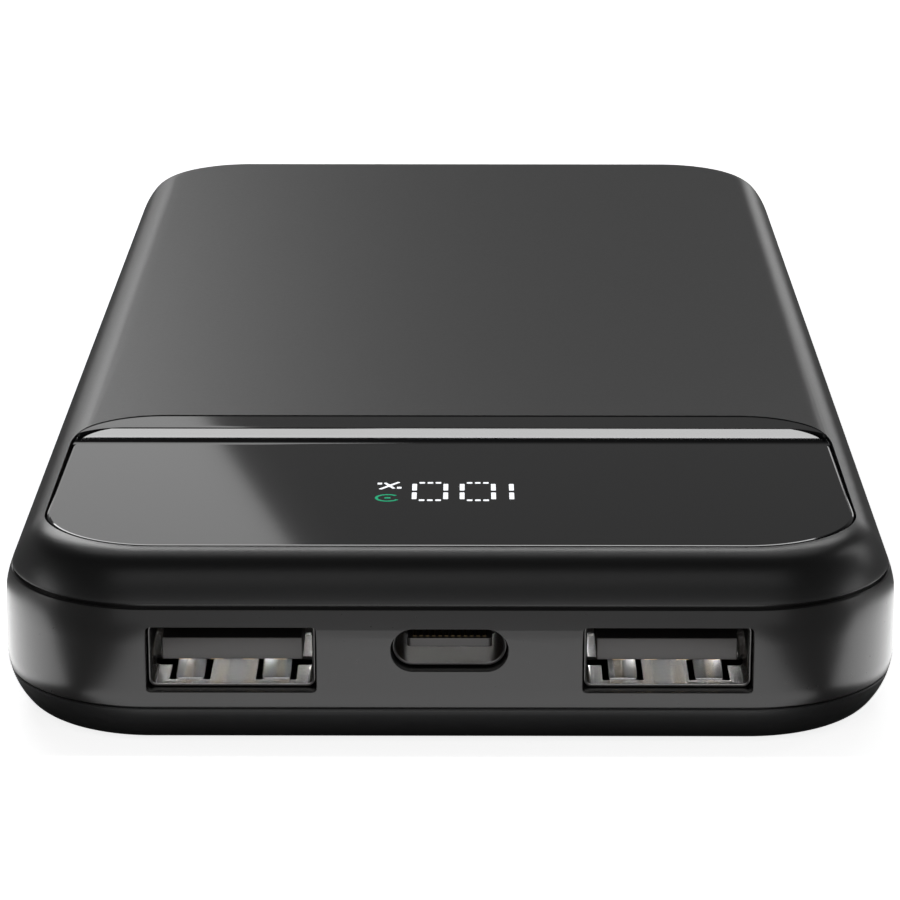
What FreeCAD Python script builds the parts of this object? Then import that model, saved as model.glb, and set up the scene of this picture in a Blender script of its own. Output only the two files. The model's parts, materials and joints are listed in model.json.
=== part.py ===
"""Slim two-cell power bank with a charge display, as a parametric FreeCAD document.

Millimetres. The origin is on the table under the middle of the case: +Z is up, +Y runs
from the sockets to the rear, and the sockets' end face is at -Y. Every driving size is a
cell of the spreadsheet "dims", and each feature is tied to those cells by expressions.
"""
import FreeCAD, Part
import math
import os
import re

import Sketcher

DIMENSIONS = {
    # case
    "case_width": 72.4,
    "case_length": 148.0,
    "case_height": 15.4,
    "case_corner": 12.5,
    "wall": 1.6,
    "top_skin": 1.4,
    "base_skin": 1.3,
    # soft edges of the case: how far each runs inwards and drops, and its end radius
    "top_run": 4.44,
    "top_drop": 6.77,
    "top_end_radius": 3.2,
    "base_run": 3.38,
    "base_drop": 4.96,
    "base_end_radius": 2.5,
    # seams between the covers and the band, and the lips and beads that join them
    "upper_seam": 11.85,
    "lower_seam": 3.42,
    "seam_groove": 0.3,
    "upper_seam_depth": 0.95,
    "lower_seam_depth": 0.5,
    "lip_drop": 1.2,
    "lip_play": 0.1,
    "lip_inset": 2.8,
    "bead_length": 8.0,
    "bead_height": 0.4,
    "bead_proud": 0.25,
    "bead_play": 0.1,
    # display window
    "window_width": 65.8,
    "window_front": 4.55,
    "window_rear": 40.8,
    "window_front_radius": 9.5,
    "window_rear_radius": 7.5,
    "window_gap": 0.12,
    "window_floor": 14.2,
    "window_dip": 0.4,
    "ramp_foot": 35.3,
    "ramp_top": 37.4,
    "tape_thickness": 0.15,
    "tape_border": 2.4,
    "recess_floor": 1.0,
    # display module and its lit segments
    "display_offset": 19.5,
    "display_width": 17.0,
    "display_depth": 10.0,
    "display_top": 13.7,
    "segment_top": 15.14,
    "segment_play": 0.02,
    "stroke": 0.4,
    "thin_stroke": 0.24,
    "digit_width": 3.04,
    "digit_near": 16.83,
    "digit_far": 22.15,
    "digit_first": -1.7,
    "digit_second": 2.26,
    "digit_last": 5.06,
    "percent_middle": -5.1,
    "percent_width": 1.8,
    "percent_near": 20.2,
    "icon_centre": 17.65,
    "icon_radius": 1.18,
    # main board
    "board_width": 62.0,
    "board_front": 2.95,
    "board_rear": 43.5,
    "board_corner": 8.0,
    "board_base": 10.07,
    "board_thickness": 1.0,
    "screw_x": 27.8,
    "screw_front": 7.5,
    "screw_rear": 39.5,
    "screw_radius": 0.95,
    "screw_hole_radius": 1.1,
    "screw_pilot_radius": 0.96,
    "screw_head_radius": 1.7,
    "screw_head_height": 0.85,
    "boss_radius": 2.3,
    # power sockets of the wider kind
    "port_spacing": 34.3,
    "port_cut_width": 13.4,
    "port_cut_height": 5.34,
    "port_cut_corner": 0.4,
    "port_setback": 1.2,
    "shell_width": 13.1,
    "shell_height": 5.2,
    "shell_length": 13.6,
    "shell_skin": 0.3,
    "tab_offset": 3.4,
    "tab_width": 2.2,
    "tab_length": 6.0,
    "tab_slot": 0.45,
    "tab_start": 1.1,
    "tongue_width": 11.1,
    "tongue_thickness": 1.84,
    "tongue_drop": 1.15,
    "tongue_setback": 0.9,
    "socket_back": 2.2,
    "contact_width": 1.0,
    "contact_skin": 0.2,
    "contact_pitch": 2.5,
    "contact_length": 8.0,
    # oval socket
    "oval_cut_width": 9.2,
    "oval_cut_height": 3.45,
    "oval_setback": 1.0,
    "oval_width": 8.94,
    "oval_height": 3.16,
    "oval_length": 7.35,
    "oval_skin": 0.3,
    "oval_tongue_width": 6.69,
    "oval_tongue_thickness": 0.7,
    "oval_tongue_setback": 0.9,
    "oval_back": 1.4,
    "oval_contact_pitch": 0.5,
    "oval_contact_width": 0.26,
    "oval_contact_skin": 0.05,
    "oval_contact_length": 3.6,
    # power key on the right-hand side, and the switch behind it
    "key_y": -50.0,
    "key_z": 6.8,
    "key_length": 10.5,
    "key_height": 3.4,
    "key_play": 0.15,
    "key_sunk": 0.05,
    "key_edge": 0.25,
    "key_flange_over": 0.35,
    "key_flange_thickness": 0.8,
    "key_flange_play": 0.1,
    "key_stem": 3.0,
    "key_stem_height": 2.0,
    "switch_face": 32.2,
    "switch_depth": 3.5,
    "switch_width": 7.0,
    "switch_base": 5.2,
    "plunger_radius": 1.2,
    "plunger_bore_radius": 1.25,
    "plunger_proud": 1.0,
    "plunger_inner": 1.8,
    "plunger_bore_depth": 2.4,
    # cells
    "cell_width": 62.0,
    "cell_front": -24.0,
    "cell_length": 91.5,
    "cell_thickness": 5.6,
    "cell_corner": 2.0,
    "cell_edge": 1.2,
    "strip_thickness": 0.2,
    "strip_width": 12.0,
    "foam_thickness": 1.1,
    "foam_width": 50.0,
    "tab_strip_width": 4.0,
    "tab_strip_skin": 0.15,
    "tab_strip_x": 12.0,
    # protection board behind the rib
    "rib_y": -29.1,
    "rib_thickness": 1.0,
    "rib_base": 4.75,
    "rib_top": 8.5,
    "guard_y": -28.0,
    "guard_thickness": 0.8,
    "guard_width": 40.0,
    "guard_base": 3.0,
    "guard_top": 11.0,
    "lead_radius": 0.55,
    "lead_height": 9.3,
    "lead_spacing": 16.0,
    "lead_sway": 2.0,
    "lead_length": 6.6,
    "joint_length": 2.4,
    "joint_width": 2.4,
}

SHEET = "dims"
UP = FreeCAD.Vector(0, 0, 1)

doc = FreeCAD.newDocument("power_bank")
nodes = []


# ---------------------------------------------------------------- sheet and formulas


def write_sheet():
    """Put every driving dimension in the spreadsheet, one alias to a row."""
    sheet = doc.addObject("Spreadsheet::Sheet", SHEET)
    for row, (alias, number) in enumerate(DIMENSIONS.items(), start=1):
        sheet.set(f"A{row}", alias)
        sheet.set(f"B{row}", str(number))
        sheet.setAlias(f"B{row}", alias)
    doc.recompute()
    return sheet


sheet = write_sheet()


def formula(text):
    """Write a formula of aliases as an expression that any object can use."""
    return re.sub(r"[a-z_]+", lambda word: f"{SHEET}.{word.group()}"
                  if word.group() in DIMENSIONS else word.group(), str(text))


def size(text):
    """Work out a formula of aliases."""
    return float(sheet.evalExpression(str(text)))


def tie(item, name, text):
    """Bind one property of an object to a formula."""
    item.setExpression(name, formula(text))


def keep(item):
    """Mark an object as a sub-part: its label names its file."""
    item.Label = item.Name
    nodes.append(item)
    return item


# ---------------------------------------------------------------- bodies and sketches


def new_body(name):
    return doc.addObject("PartDesign::Body", name)


def origin_plane(body, role):
    return next(item for item in body.Origin.OriginFeatures if item.Role == role)


def new_sketch(body, name, role="XY_Plane", level="0"):
    """Start a sketch on one of the body's own planes, lifted along that plane's normal."""
    sketch = body.newObject("Sketcher::SketchObject", f"{body.Name}_{name}")
    sketch.AttachmentSupport = [(origin_plane(body, role), "")]
    sketch.MapMode = "FlatFace"
    tie(sketch, "AttachmentOffset.Base.z", level)
    return sketch


def constrain(sketch, *terms):
    return sketch.addConstraint(Sketcher.Constraint(*terms))


def measure(sketch, kind, *terms):
    """Add a constraint whose last term is a formula."""
    *where, text = terms
    index = constrain(sketch, kind, *where, size(text))
    tie(sketch, f"Constraints[{index}]", text)


def place_point(sketch, edge, end, x, y):
    """Hold one end of an edge at a place measured from the sketch's origin."""
    measure(sketch, "DistanceX", -1, 1, edge, end, x)
    measure(sketch, "DistanceY", -1, 1, edge, end, y)


def polygon(sketch, corners):
    """Draw a closed outline of straight lines through corners given as formulas."""
    start = sketch.GeometryCount
    count = len(corners)
    places = [FreeCAD.Vector(size(x), size(y), 0) for x, y in corners]
    for step in range(count):
        sketch.addGeometry(Part.LineSegment(places[step], places[(step + 1) % count]))
    for step in range(count):
        constrain(sketch, "Coincident", start + step, 2, start + (step + 1) % count, 1)
    for step, (x, y) in enumerate(corners):
        place_point(sketch, start + step, 1, x, y)


def rectangle(sketch, x, y, width, depth):
    """Draw a rectangle about a centre."""
    low_x, high_x = f"{x} - ({width}) / 2", f"{x} + ({width}) / 2"
    low_y, high_y = f"{y} - ({depth}) / 2", f"{y} + ({depth}) / 2"
    polygon(sketch, [(low_x, low_y), (high_x, low_y), (high_x, high_y), (low_x, high_y)])


def rounded(sketch, x, y, width, depth, near, far=None):
    """Draw a rectangle with tangent corner arcs; the near and far pair may differ."""
    far = far or near
    start = sketch.GeometryCount
    half_x, half_y = size(f"({width}) / 2"), size(f"({depth}) / 2")
    middle = FreeCAD.Vector(size(x), size(y), 0)
    corners = [(half_x, -half_y, size(near), -90), (half_x, half_y, size(far), 0),
               (-half_x, half_y, size(far), 90), (-half_x, -half_y, size(near), 180)]
    arcs = []
    for corner_x, corner_y, radius, turn in corners:
        inward = FreeCAD.Vector(-math.copysign(radius, corner_x), -math.copysign(radius, corner_y), 0)
        hub = middle + FreeCAD.Vector(corner_x, corner_y, 0) + inward
        circle = Part.Circle(hub, UP, radius)
        arcs.append(Part.ArcOfCircle(circle, math.radians(turn), math.radians(turn + 90)))
    for step, arc in enumerate(arcs):
        sketch.addGeometry(Part.LineSegment(arcs[step - 1].EndPoint, arc.StartPoint))
    for arc in arcs:
        sketch.addGeometry(arc)
    for step in range(4):
        constrain(sketch, "Tangent", start + step, 2, start + 4 + step, 1)
        constrain(sketch, "Tangent", start + 4 + step, 2, start + (step + 1) % 4, 1)
        constrain(sketch, "Horizontal" if step % 2 == 0 else "Vertical", start + step)
    constrain(sketch, "Equal", start + 4, start + 7)
    constrain(sketch, "Equal", start + 5, start + 6)
    measure(sketch, "Radius", start + 4, near)
    measure(sketch, "Radius", start + 5, far)
    place_point(sketch, start + 4, 3, f"{x} + ({width}) / 2 - ({near})", f"{y} - ({depth}) / 2 + ({near})")
    place_point(sketch, start + 6, 3, f"{x} - ({width}) / 2 + ({far})", f"{y} + ({depth}) / 2 - ({far})")


def racetrack(sketch, x, y, width, height):
    """Draw a slot with half-round ends, lying along the sketch's first axis."""
    start = sketch.GeometryCount
    radius = size(f"({height}) / 2")
    reach = size(f"({width}) / 2") - radius
    middle = FreeCAD.Vector(size(x), size(y), 0)
    for side, turn in ((1, -90), (-1, 90)):
        circle = Part.Circle(middle + FreeCAD.Vector(side * reach, 0, 0), UP, radius)
        sketch.addGeometry(Part.ArcOfCircle(circle, math.radians(turn), math.radians(turn + 180)))
    right, left = sketch.Geometry[start], sketch.Geometry[start + 1]
    sketch.addGeometry(Part.LineSegment(right.EndPoint, left.StartPoint))
    sketch.addGeometry(Part.LineSegment(left.EndPoint, right.StartPoint))
    constrain(sketch, "Tangent", start, 2, start + 2, 1)
    constrain(sketch, "Tangent", start + 2, 2, start + 1, 1)
    constrain(sketch, "Tangent", start + 1, 2, start + 3, 1)
    constrain(sketch, "Tangent", start + 3, 2, start, 1)
    measure(sketch, "Radius", start, f"({height}) / 2")
    place_point(sketch, start, 3, f"{x} + ({width}) / 2 - ({height}) / 2", y)
    measure(sketch, "DistanceX", -1, 1, start + 1, 3, f"{x} - ({width}) / 2 + ({height}) / 2")


def circle(sketch, x, y, radius):
    start = sketch.GeometryCount
    middle = FreeCAD.Vector(size(x), size(y), 0)
    sketch.addGeometry(Part.Circle(middle, UP, size(radius)))
    measure(sketch, "Radius", start, radius)
    place_point(sketch, start, 3, x, y)


def case_outline(sketch, inset="0"):
    """Draw the case's outline, moved in all round by an inset."""
    rounded(sketch, "0", "0", f"case_width - 2 * ({inset})", f"case_length - 2 * ({inset})",
            f"case_corner - ({inset})")


# ---------------------------------------------------------------- features


def pad(sketch, length, back=False):
    """Extrude a sketch along its plane's normal, or backwards."""
    feature = sketch.getParent().newObject("PartDesign::Pad", f"{sketch.Name}_pad")
    feature.Profile = sketch
    feature.Reversed = back
    tie(feature, "Length", length)
    doc.recompute()
    return feature


def pocket(sketch, length, along=False):
    """Cut a sketch against its plane's normal, or along it, and prove that it cuts."""
    body = sketch.getParent()
    before = body.Shape.Volume
    feature = body.newObject("PartDesign::Pocket", f"{sketch.Name}_pocket")
    feature.Profile = sketch
    feature.Reversed = along
    tie(feature, "Length", length)
    doc.recompute()
    if not feature.Shape.Volume < before - 1e-6:
        raise RuntimeError(f"{feature.Name} cuts nothing")
    return feature


def soften_edge(body, top=True):
    """Sweep the waste outside the case's soft edge round the outline and cut it away.

    The edge is two tangent arcs: a wide one that leaves the side, and a tight one that
    meets the flat. The tight arc's radius is given, and the wide one's follows from it.
    """
    name, sign, flat = ("top", 1, "case_height") if top else ("base", -1, "0")
    path = new_sketch(body, f"{name}_path")
    case_outline(path)
    waste = new_sketch(body, f"{name}_waste", "XZ_Plane")
    run, drop, tight = size(f"{name}_run"), size(f"{name}_drop"), size(f"{name}_end_radius")
    wide = (run**2 + drop**2 - 2 * drop * tight) / (2 * (run - tight))
    meet_angle = math.asin((drop - tight) / (wide - tight))
    side, level = size("case_width / 2"), size(flat)

    def arc_point(hub_x, hub_z, radius, angle):
        return FreeCAD.Vector(hub_x + radius * math.cos(angle), hub_z + sign * radius * math.sin(angle), 0)

    wide_hub = (side - wide, level - sign * drop)
    tight_hub = (side - run, level - sign * tight)
    start = arc_point(*wide_hub, wide, 0)
    meet = arc_point(*wide_hub, wide, meet_angle)
    finish = arc_point(*tight_hub, tight, math.pi / 2)
    waste.addGeometry(Part.Arc(start, arc_point(*wide_hub, wide, meet_angle / 2), meet))
    waste.addGeometry(Part.Arc(meet, arc_point(*tight_hub, tight, (meet_angle + math.pi / 2) / 2), finish))
    side_end, flat_end = (1, 2) if top else (2, 1)
    outer = "case_width / 2 + 1"
    beyond = f"{flat} + {sign}"
    bends = [(f"case_width / 2 - {name}_run", beyond), (outer, beyond),
             (outer, f"{flat} - {sign} * {name}_drop")]
    corners = [finish] + [FreeCAD.Vector(size(x), size(z), 0) for x, z in bends] + [start]
    for here, there in zip(corners, corners[1:]):
        waste.addGeometry(Part.LineSegment(here, there))
    constrain(waste, "Tangent", 0, flat_end, 1, side_end)
    constrain(waste, "Coincident", 1, flat_end, 2, 1)
    for edge in (2, 3, 4):
        constrain(waste, "Coincident", edge, 2, edge + 1, 1)
    constrain(waste, "Coincident", 5, 2, 0, side_end)
    place_point(waste, 0, side_end, "case_width / 2", f"{flat} - {sign} * {name}_drop")
    place_point(waste, 1, flat_end, f"case_width / 2 - {name}_run", flat)
    constrain(waste, "Horizontal", 0, 3, 0, side_end)
    constrain(waste, "Vertical", 1, 3, 1, flat_end)
    measure(waste, "Radius", 1, f"{name}_end_radius")
    for edge, (x, z) in enumerate(bends, start=3):
        place_point(waste, edge, 1, x, z)
    before = body.Shape.Volume
    sweep = body.newObject("PartDesign::SubtractivePipe", f"{body.Name}_{name}_edge")
    sweep.Profile = waste
    sweep.Spine = path
    doc.recompute()
    if not sweep.Shape.Volume < before:
        raise RuntimeError(f"{sweep.Name} cuts nothing")
    return sweep


def round_over(body, radius, picks):
    """Round the edges of a body that a test picks."""
    base = body.Tip
    edges = [f"Edge{number}" for number, edge in enumerate(base.Shape.Edges, start=1) if picks(edge)]
    feature = body.newObject("PartDesign::Fillet", f"{body.Name}_edges")
    feature.Base = (base, edges)
    tie(feature, "Radius", radius)
    doc.recompute()
    return feature


def lies_at(edge, axis, place):
    """Say whether an edge lies wholly in the plane at a place along one axis."""
    box = edge.BoundBox
    low, high = (box.XMin, box.XMax) if axis == "x" else (box.ZMin, box.ZMax)
    return abs(low - place) < 1e-4 and abs(high - place) < 1e-4


def block(name, x, y, base, width, depth, height):
    """Make a plain block centred on x and y, standing on its base."""
    item = doc.addObject("Part::Box", name)
    tie(item, "Length", width)
    tie(item, "Width", depth)
    tie(item, "Height", height)
    tie(item, ".Placement.Base.x", f"{x} - ({width}) / 2")
    tie(item, ".Placement.Base.y", f"{y} - ({depth}) / 2")
    tie(item, ".Placement.Base.z", base)
    return keep(item)


def group(name, level, height, draw):
    """Make one body of several solids, all padded from one sketch that a function draws."""
    body = new_body(name)
    body.AllowCompound = True
    sketch = new_sketch(body, "outlines", level=level)
    draw(sketch)
    pad(sketch, height)
    return keep(body)


# ---------------------------------------------------------------- shared places

UNDER_WINDOW = "(window_floor - tape_thickness)"
LIP_BASE = "(upper_seam - lip_drop)"
LIP_TOP = "(lower_seam + lip_drop)"
BOARD_TOP = "(board_base + board_thickness)"
INNER_SIDE = "(case_width / 2 - wall)"
FRONT = "(-case_length / 2)"
PORT_Z = "(board_base - shell_height / 2)"
SHELL_FRONT = "(case_length / 2 - port_setback)"
OVAL_Z = "(board_base - 0.19 - oval_height / 2)"
OVAL_FRONT = "(case_length / 2 - oval_setback)"
KEY_SHOULDER = "(case_width / 2 - wall - key_flange_play)"
LOWER_CELL = "(base_skin + strip_thickness)"
UPPER_CELL = "(base_skin + 2 * strip_thickness + cell_thickness)"
CELL_MIDDLE = "(cell_front + cell_length / 2)"
SCREWS = [(f"{side} * screw_x", f"{FRONT} + {row}")
          for side in (-1, 1) for row in ("screw_front", "screw_rear")]
BEAD_ROWS = (-38, 4, 46)


def window_outline(sketch, grow="0"):
    rounded(sketch, "0", f"{FRONT} + (window_front + window_rear) / 2",
            f"window_width + 2 * ({grow})", f"window_rear - window_front + 2 * ({grow})",
            f"window_front_radius + ({grow})", f"window_rear_radius + ({grow})")


def bead_outlines(sketch, reach):
    """Draw the snap beads of one lip, three to a side, standing out to a reach."""
    for side in (-1, 1):
        for row in BEAD_ROWS:
            rectangle(sketch, f"{side} * ({INNER_SIDE} + ({reach}) / 2 - 0.4)", row,
                      f"0.8 + ({reach})", "bead_length")


def bead_slots(body, name, level):
    """Cut the slots that the beads of one lip snap into."""
    slots = new_sketch(body, name, level=f"{level} - bead_play")
    for side in (-1, 1):
        for row in BEAD_ROWS:
            rectangle(slots, f"{side} * ({INNER_SIDE} + bead_proud / 2 - 0.5)", row,
                      "bead_proud + 1.2", "bead_length + 2 * bead_play")
    pocket(slots, "bead_height + 2 * bead_play", along=True)


UPPER_BEADS = f"({LIP_BASE} + 0.25)"
LOWER_BEADS = f"({LIP_TOP} - 0.25 - bead_height)"


# ---------------------------------------------------------------- case


def build_top_cover():
    body = new_body("top_cover")
    skin = new_sketch(body, "skin", level="upper_seam")
    case_outline(skin)
    pad(skin, "case_height - upper_seam")
    soften_edge(body, top=True)
    lip = new_sketch(body, "lip", level=LIP_BASE)
    case_outline(lip, "wall + lip_play")
    pad(lip, "lip_drop")
    beads = new_sketch(body, "beads", level=UPPER_BEADS)
    bead_outlines(beads, "bead_proud")
    pad(beads, "bead_height")
    hollow = new_sketch(body, "hollow", level=LIP_BASE)
    case_outline(hollow, "lip_inset")
    pocket(hollow, f"{UNDER_WINDOW} - recess_floor - {LIP_BASE}", along=True)
    over_cells = new_sketch(body, "over_cells", level=f"{UNDER_WINDOW} - recess_floor")
    front, rear = f"({FRONT} + window_rear + wall)", "(case_length / 2 - lip_inset)"
    rounded(over_cells, "0", f"({front} + {rear}) / 2", "case_width - 2 * lip_inset",
            f"{rear} - {front}", "cell_corner", "case_corner - lip_inset")
    pocket(over_cells, f"case_height - top_skin - {UNDER_WINDOW} + recess_floor", along=True)
    bosses = new_sketch(body, "bosses", level=BOARD_TOP)
    for x, y in SCREWS:
        circle(bosses, x, y, "boss_radius")
    pad(bosses, f"{UNDER_WINDOW} - recess_floor - {BOARD_TOP}")
    pilots = new_sketch(body, "pilots", level=BOARD_TOP)
    for x, y in SCREWS:
        circle(pilots, x, y, "screw_pilot_radius")
    pocket(pilots, "2.5", along=True)
    recess = new_sketch(body, "recess", level="case_height")
    window_outline(recess, "window_gap")
    pocket(recess, f"case_height - {UNDER_WINDOW}")
    opening = new_sketch(body, "opening", level=UNDER_WINDOW)
    rectangle(opening, "0", f"{FRONT} + display_offset", "display_width + 0.6", "display_depth + 0.6")
    pocket(opening, "recess_floor")
    return keep(body)


def build_middle_frame():
    body = new_body("middle_frame")
    band = new_sketch(body, "band", level="lower_seam")
    case_outline(band)
    pad(band, "upper_seam - lower_seam")
    soften_edge(body, top=True)
    soften_edge(body, top=False)
    hollow = new_sketch(body, "hollow", level="lower_seam")
    case_outline(hollow, "wall")
    pocket(hollow, "upper_seam - lower_seam", along=True)
    rib = new_sketch(body, "rib", level="rib_base")
    rectangle(rib, "0", "rib_y", f"2 * {INNER_SIDE} + 0.6", "rib_thickness")
    pad(rib, "rib_top - rib_base")
    groove = new_sketch(body, "groove", level="upper_seam")
    case_outline(groove, "-1")
    case_outline(groove, "upper_seam_depth")
    pocket(groove, "seam_groove")
    ports = new_sketch(body, "ports", "XZ_Plane", "case_length / 2 + 1")
    for side in (-1, 1):
        rounded(ports, f"{side} * port_spacing / 2", PORT_Z, "port_cut_width", "port_cut_height",
                "port_cut_corner")
    racetrack(ports, "0", OVAL_Z, "oval_cut_width", "oval_cut_height")
    pocket(ports, "wall + 1.5")
    key = new_sketch(body, "key", "YZ_Plane", "case_width / 2 + 1")
    racetrack(key, "key_y", "key_z", "key_length + 2 * key_play", "key_height + 2 * key_play")
    pocket(key, "wall + 1.5")
    bead_slots(body, "upper_slots", UPPER_BEADS)
    bead_slots(body, "lower_slots", LOWER_BEADS)
    return keep(body)


def build_bottom_cover():
    body = new_body("bottom_cover")
    tray = new_sketch(body, "tray")
    case_outline(tray)
    pad(tray, "lower_seam")
    soften_edge(body, top=False)
    groove = new_sketch(body, "groove", level="lower_seam")
    case_outline(groove, "-1")
    case_outline(groove, "lower_seam_depth")
    pocket(groove, "seam_groove / 2")
    lip = new_sketch(body, "lip", level="lower_seam")
    case_outline(lip, "wall + lip_play")
    pad(lip, "lip_drop")
    beads = new_sketch(body, "beads", level=LOWER_BEADS)
    bead_outlines(beads, "bead_proud")
    pad(beads, "bead_height")
    hollow = new_sketch(body, "hollow", level=LIP_TOP)
    case_outline(hollow, "lip_inset")
    pocket(hollow, f"{LIP_TOP} - base_skin")
    fences = new_sketch(body, "fences", level="base_skin")
    for side in (-1, 1):
        for row in (-10, 50):
            rectangle(fences, f"{side} * (cell_width / 2 + 0.8)", row, "0.8", "12")
    pad(fences, "2.5")
    return keep(body)


# ---------------------------------------------------------------- display


def dash_rows(left):
    """List the strokes of a nought: two to each side, and three dashes at each end."""
    middle = f"({left} + digit_width / 2)"
    half = "((digit_far - digit_near) / 2)"
    centre = f"({FRONT} + (digit_near + digit_far) / 2)"
    strokes = []
    for side in (-1, 1):
        x = f"{middle} + {side} * (digit_width - stroke) / 2"
        for end in (-1, 1):
            strokes.append((x, f"{centre} + {end} * ({half} / 2 - 0.08)", "stroke", f"{half} - 0.75"))
    for end in (-1, 1):
        for column in (-1, 0, 1):
            strokes.append((f"{middle} + {column} * 0.82", f"{centre} + {end} * ({half} - thin_stroke / 2)",
                            "0.56", "thin_stroke"))
    return strokes


def digit_strokes():
    """List every stroke of the digits as centre, width and depth."""
    strokes = dash_rows("(digit_first - digit_width / 2)") + dash_rows("(digit_second - digit_width / 2)")
    centre = f"({FRONT} + (digit_near + digit_far) / 2)"
    for end in (-1, 1):
        strokes.append(("digit_last", f"{centre} + {end} * 1.07", "stroke", "1.85"))
    return strokes


def draw_digits(sketch, grow="0"):
    for x, y, width, depth in digit_strokes():
        rectangle(sketch, x, y, f"{width} + 2 * ({grow})", f"{depth} + 2 * ({grow})")


def draw_percent(sketch, grow="0"):
    """Draw the percent sign: a slanted bar and a small square on each side of it."""
    near = f"({FRONT} + percent_near)"
    half = "(percent_width / 2)"
    bar = f"(0.17 + ({grow}))"
    polygon(sketch, [(f"percent_middle - {half} - ({grow})", f"{near} + 0.12"),
                     (f"percent_middle - {half} + 1.4 * {bar}", f"{near} - ({grow})"),
                     (f"percent_middle + {half} + ({grow})", f"{near} + percent_width - 0.12"),
                     (f"percent_middle + {half} - 1.4 * {bar}", f"{near} + percent_width + ({grow})")])
    for x, y in ((0.5, 0.42), (-0.5, 1.4)):
        rectangle(sketch, f"percent_middle + {x}", f"{near} + {y}", f"0.46 + 2 * ({grow})",
                  f"0.46 + 2 * ({grow})")


def draw_icon(sketch, grow="0"):
    """Draw the charge icon: an open ring with a short bar inside it."""
    start = sketch.GeometryCount
    x, y = "percent_middle - 0.1", f"{FRONT} + icon_centre"
    hub = FreeCAD.Vector(size(x), size(y), 0)
    outer, inner = f"icon_radius + ({grow})", f"icon_radius - thin_stroke - ({grow})"
    opening = math.radians(50) - size(grow)
    for radius in (outer, inner):
        ring = Part.Circle(hub, UP, size(radius))
        sketch.addGeometry(Part.ArcOfCircle(ring, opening, 2 * math.pi - opening / 2))
    far, near = sketch.Geometry[start], sketch.Geometry[start + 1]
    sketch.addGeometry(Part.LineSegment(far.StartPoint, near.StartPoint))
    sketch.addGeometry(Part.LineSegment(far.EndPoint, near.EndPoint))
    for edge, end in ((2, 1), (3, 2)):
        constrain(sketch, "Coincident", start, end, start + edge, 1)
        constrain(sketch, "Coincident", start + 1, end, start + edge, 2)
        constrain(sketch, "PointOnObject", start, 3, start + edge)
    measure(sketch, "Radius", start, outer)
    measure(sketch, "Radius", start + 1, inner)
    place_point(sketch, start, 3, x, y)
    constrain(sketch, "Coincident", start, 3, start + 1, 3)
    rectangle(sketch, x, y, f"0.7 + 2 * ({grow})", f"0.32 + 2 * ({grow})")


GLYPHS = {"display_digits": draw_digits, "display_percent_sign": draw_percent,
          "display_charge_icon": draw_icon}


def build_window():
    body = new_body("display_window")
    plate = new_sketch(body, "plate", level="window_floor")
    window_outline(plate)
    pad(plate, "case_height - window_floor")
    soften_edge(body, top=True)
    dip = new_sketch(body, "dip", "YZ_Plane", "window_width / 2 + 1")
    above = "case_height + 0.5"
    start, finish = f"{FRONT} + window_front + 0.6", f"{FRONT} + ramp_top"
    polygon(dip, [(start, above), (start, "case_height"),
                  (f"{FRONT} + ramp_foot", "case_height - window_dip"),
                  (finish, "case_height"), (finish, above)])
    pocket(dip, "window_width + 2")
    for name, draw in GLYPHS.items():
        apertures = new_sketch(body, name, level="case_height")
        draw(apertures, "segment_play")
        pocket(apertures, "case_height - window_floor")
    return keep(body)


def build_window_tape():
    body = new_body("window_adhesive")
    frame = new_sketch(body, "frame", level=UNDER_WINDOW)
    window_outline(frame, "-0.3")
    window_outline(frame, "-tape_border")
    pad(frame, "tape_thickness")
    return keep(body)


def draw_pins(sketch):
    """Draw the display's solder pins along its two long sides."""
    for side in (-1, 1):
        for column in range(6):
            rectangle(sketch, f"({column} - 2.5) * 2.54",
                      f"{FRONT} + display_offset + {side} * (display_depth / 2 + 0.45)", "0.5", "0.9")


def build_display():
    middle = f"{FRONT} + display_offset"
    block("display_housing", "0", middle, BOARD_TOP, "display_width", "display_depth",
          f"display_top - {BOARD_TOP}")
    for name, draw in GLYPHS.items():
        group(name, "display_top", "segment_top - display_top", draw)
    group("display_pins", BOARD_TOP, "0.3", draw_pins)
    block("display_driver_chip", "16", middle, BOARD_TOP, "4", "4", "0.8")
    return build_window(), build_window_tape()


# ---------------------------------------------------------------- main board


def build_board():
    body = new_body("main_board")
    outline = new_sketch(body, "outline", level="board_base")
    rounded(outline, "0", f"{FRONT} + (board_front + board_rear) / 2", "board_width",
            "board_rear - board_front", "board_corner", "cell_corner")
    for x, y in SCREWS:
        circle(outline, x, y, "screw_hole_radius")
    pad(outline, "board_thickness")
    return keep(body)


def build_screws():
    body = new_body("board_screws")
    body.AllowCompound = True
    heads = new_sketch(body, "heads", level="board_base - screw_head_height")
    shanks = new_sketch(body, "shanks", level="board_base")
    for x, y in SCREWS:
        circle(heads, x, y, "screw_head_radius")
        circle(shanks, x, y, "screw_radius")
    pad(heads, "screw_head_height")
    pad(shanks, "board_thickness + 2.3")
    drives = new_sketch(body, "drives", level="board_base - screw_head_height")
    for x, y in SCREWS:
        rectangle(drives, x, y, "2.2", "0.5")
    pocket(drives, "0.4", along=True)
    return keep(body)


def hang(name, height, draw):
    """Make a group of parts that hang from the underside of the board."""
    return group(name, f"board_base - {height}", height, draw)


def draw_transistors(sketch):
    for x, y in ((-6.5, -52.5), (-2.2, -52.5), (2.2, -52.5), (6.5, -52.5)):
        rectangle(sketch, x, y, "3.3", "3.3")


def draw_ceramics(sketch):
    for column in range(5):
        for row in (-56.3, -33.2):
            rectangle(sketch, f"({column} - 2) * 2.0", row, "1.2", "0.8")


def draw_resistors(sketch):
    for column in range(6):
        for row in (-44.5, -42.9):
            rectangle(sketch, f"8 + {column} * 1.7", row, "0.5", "1.0")


def draw_polymers(sketch):
    for x, y in ((-17.5, -51), (-17.5, -40), (19, -52)):
        circle(sketch, x, y, "2.5")


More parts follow.
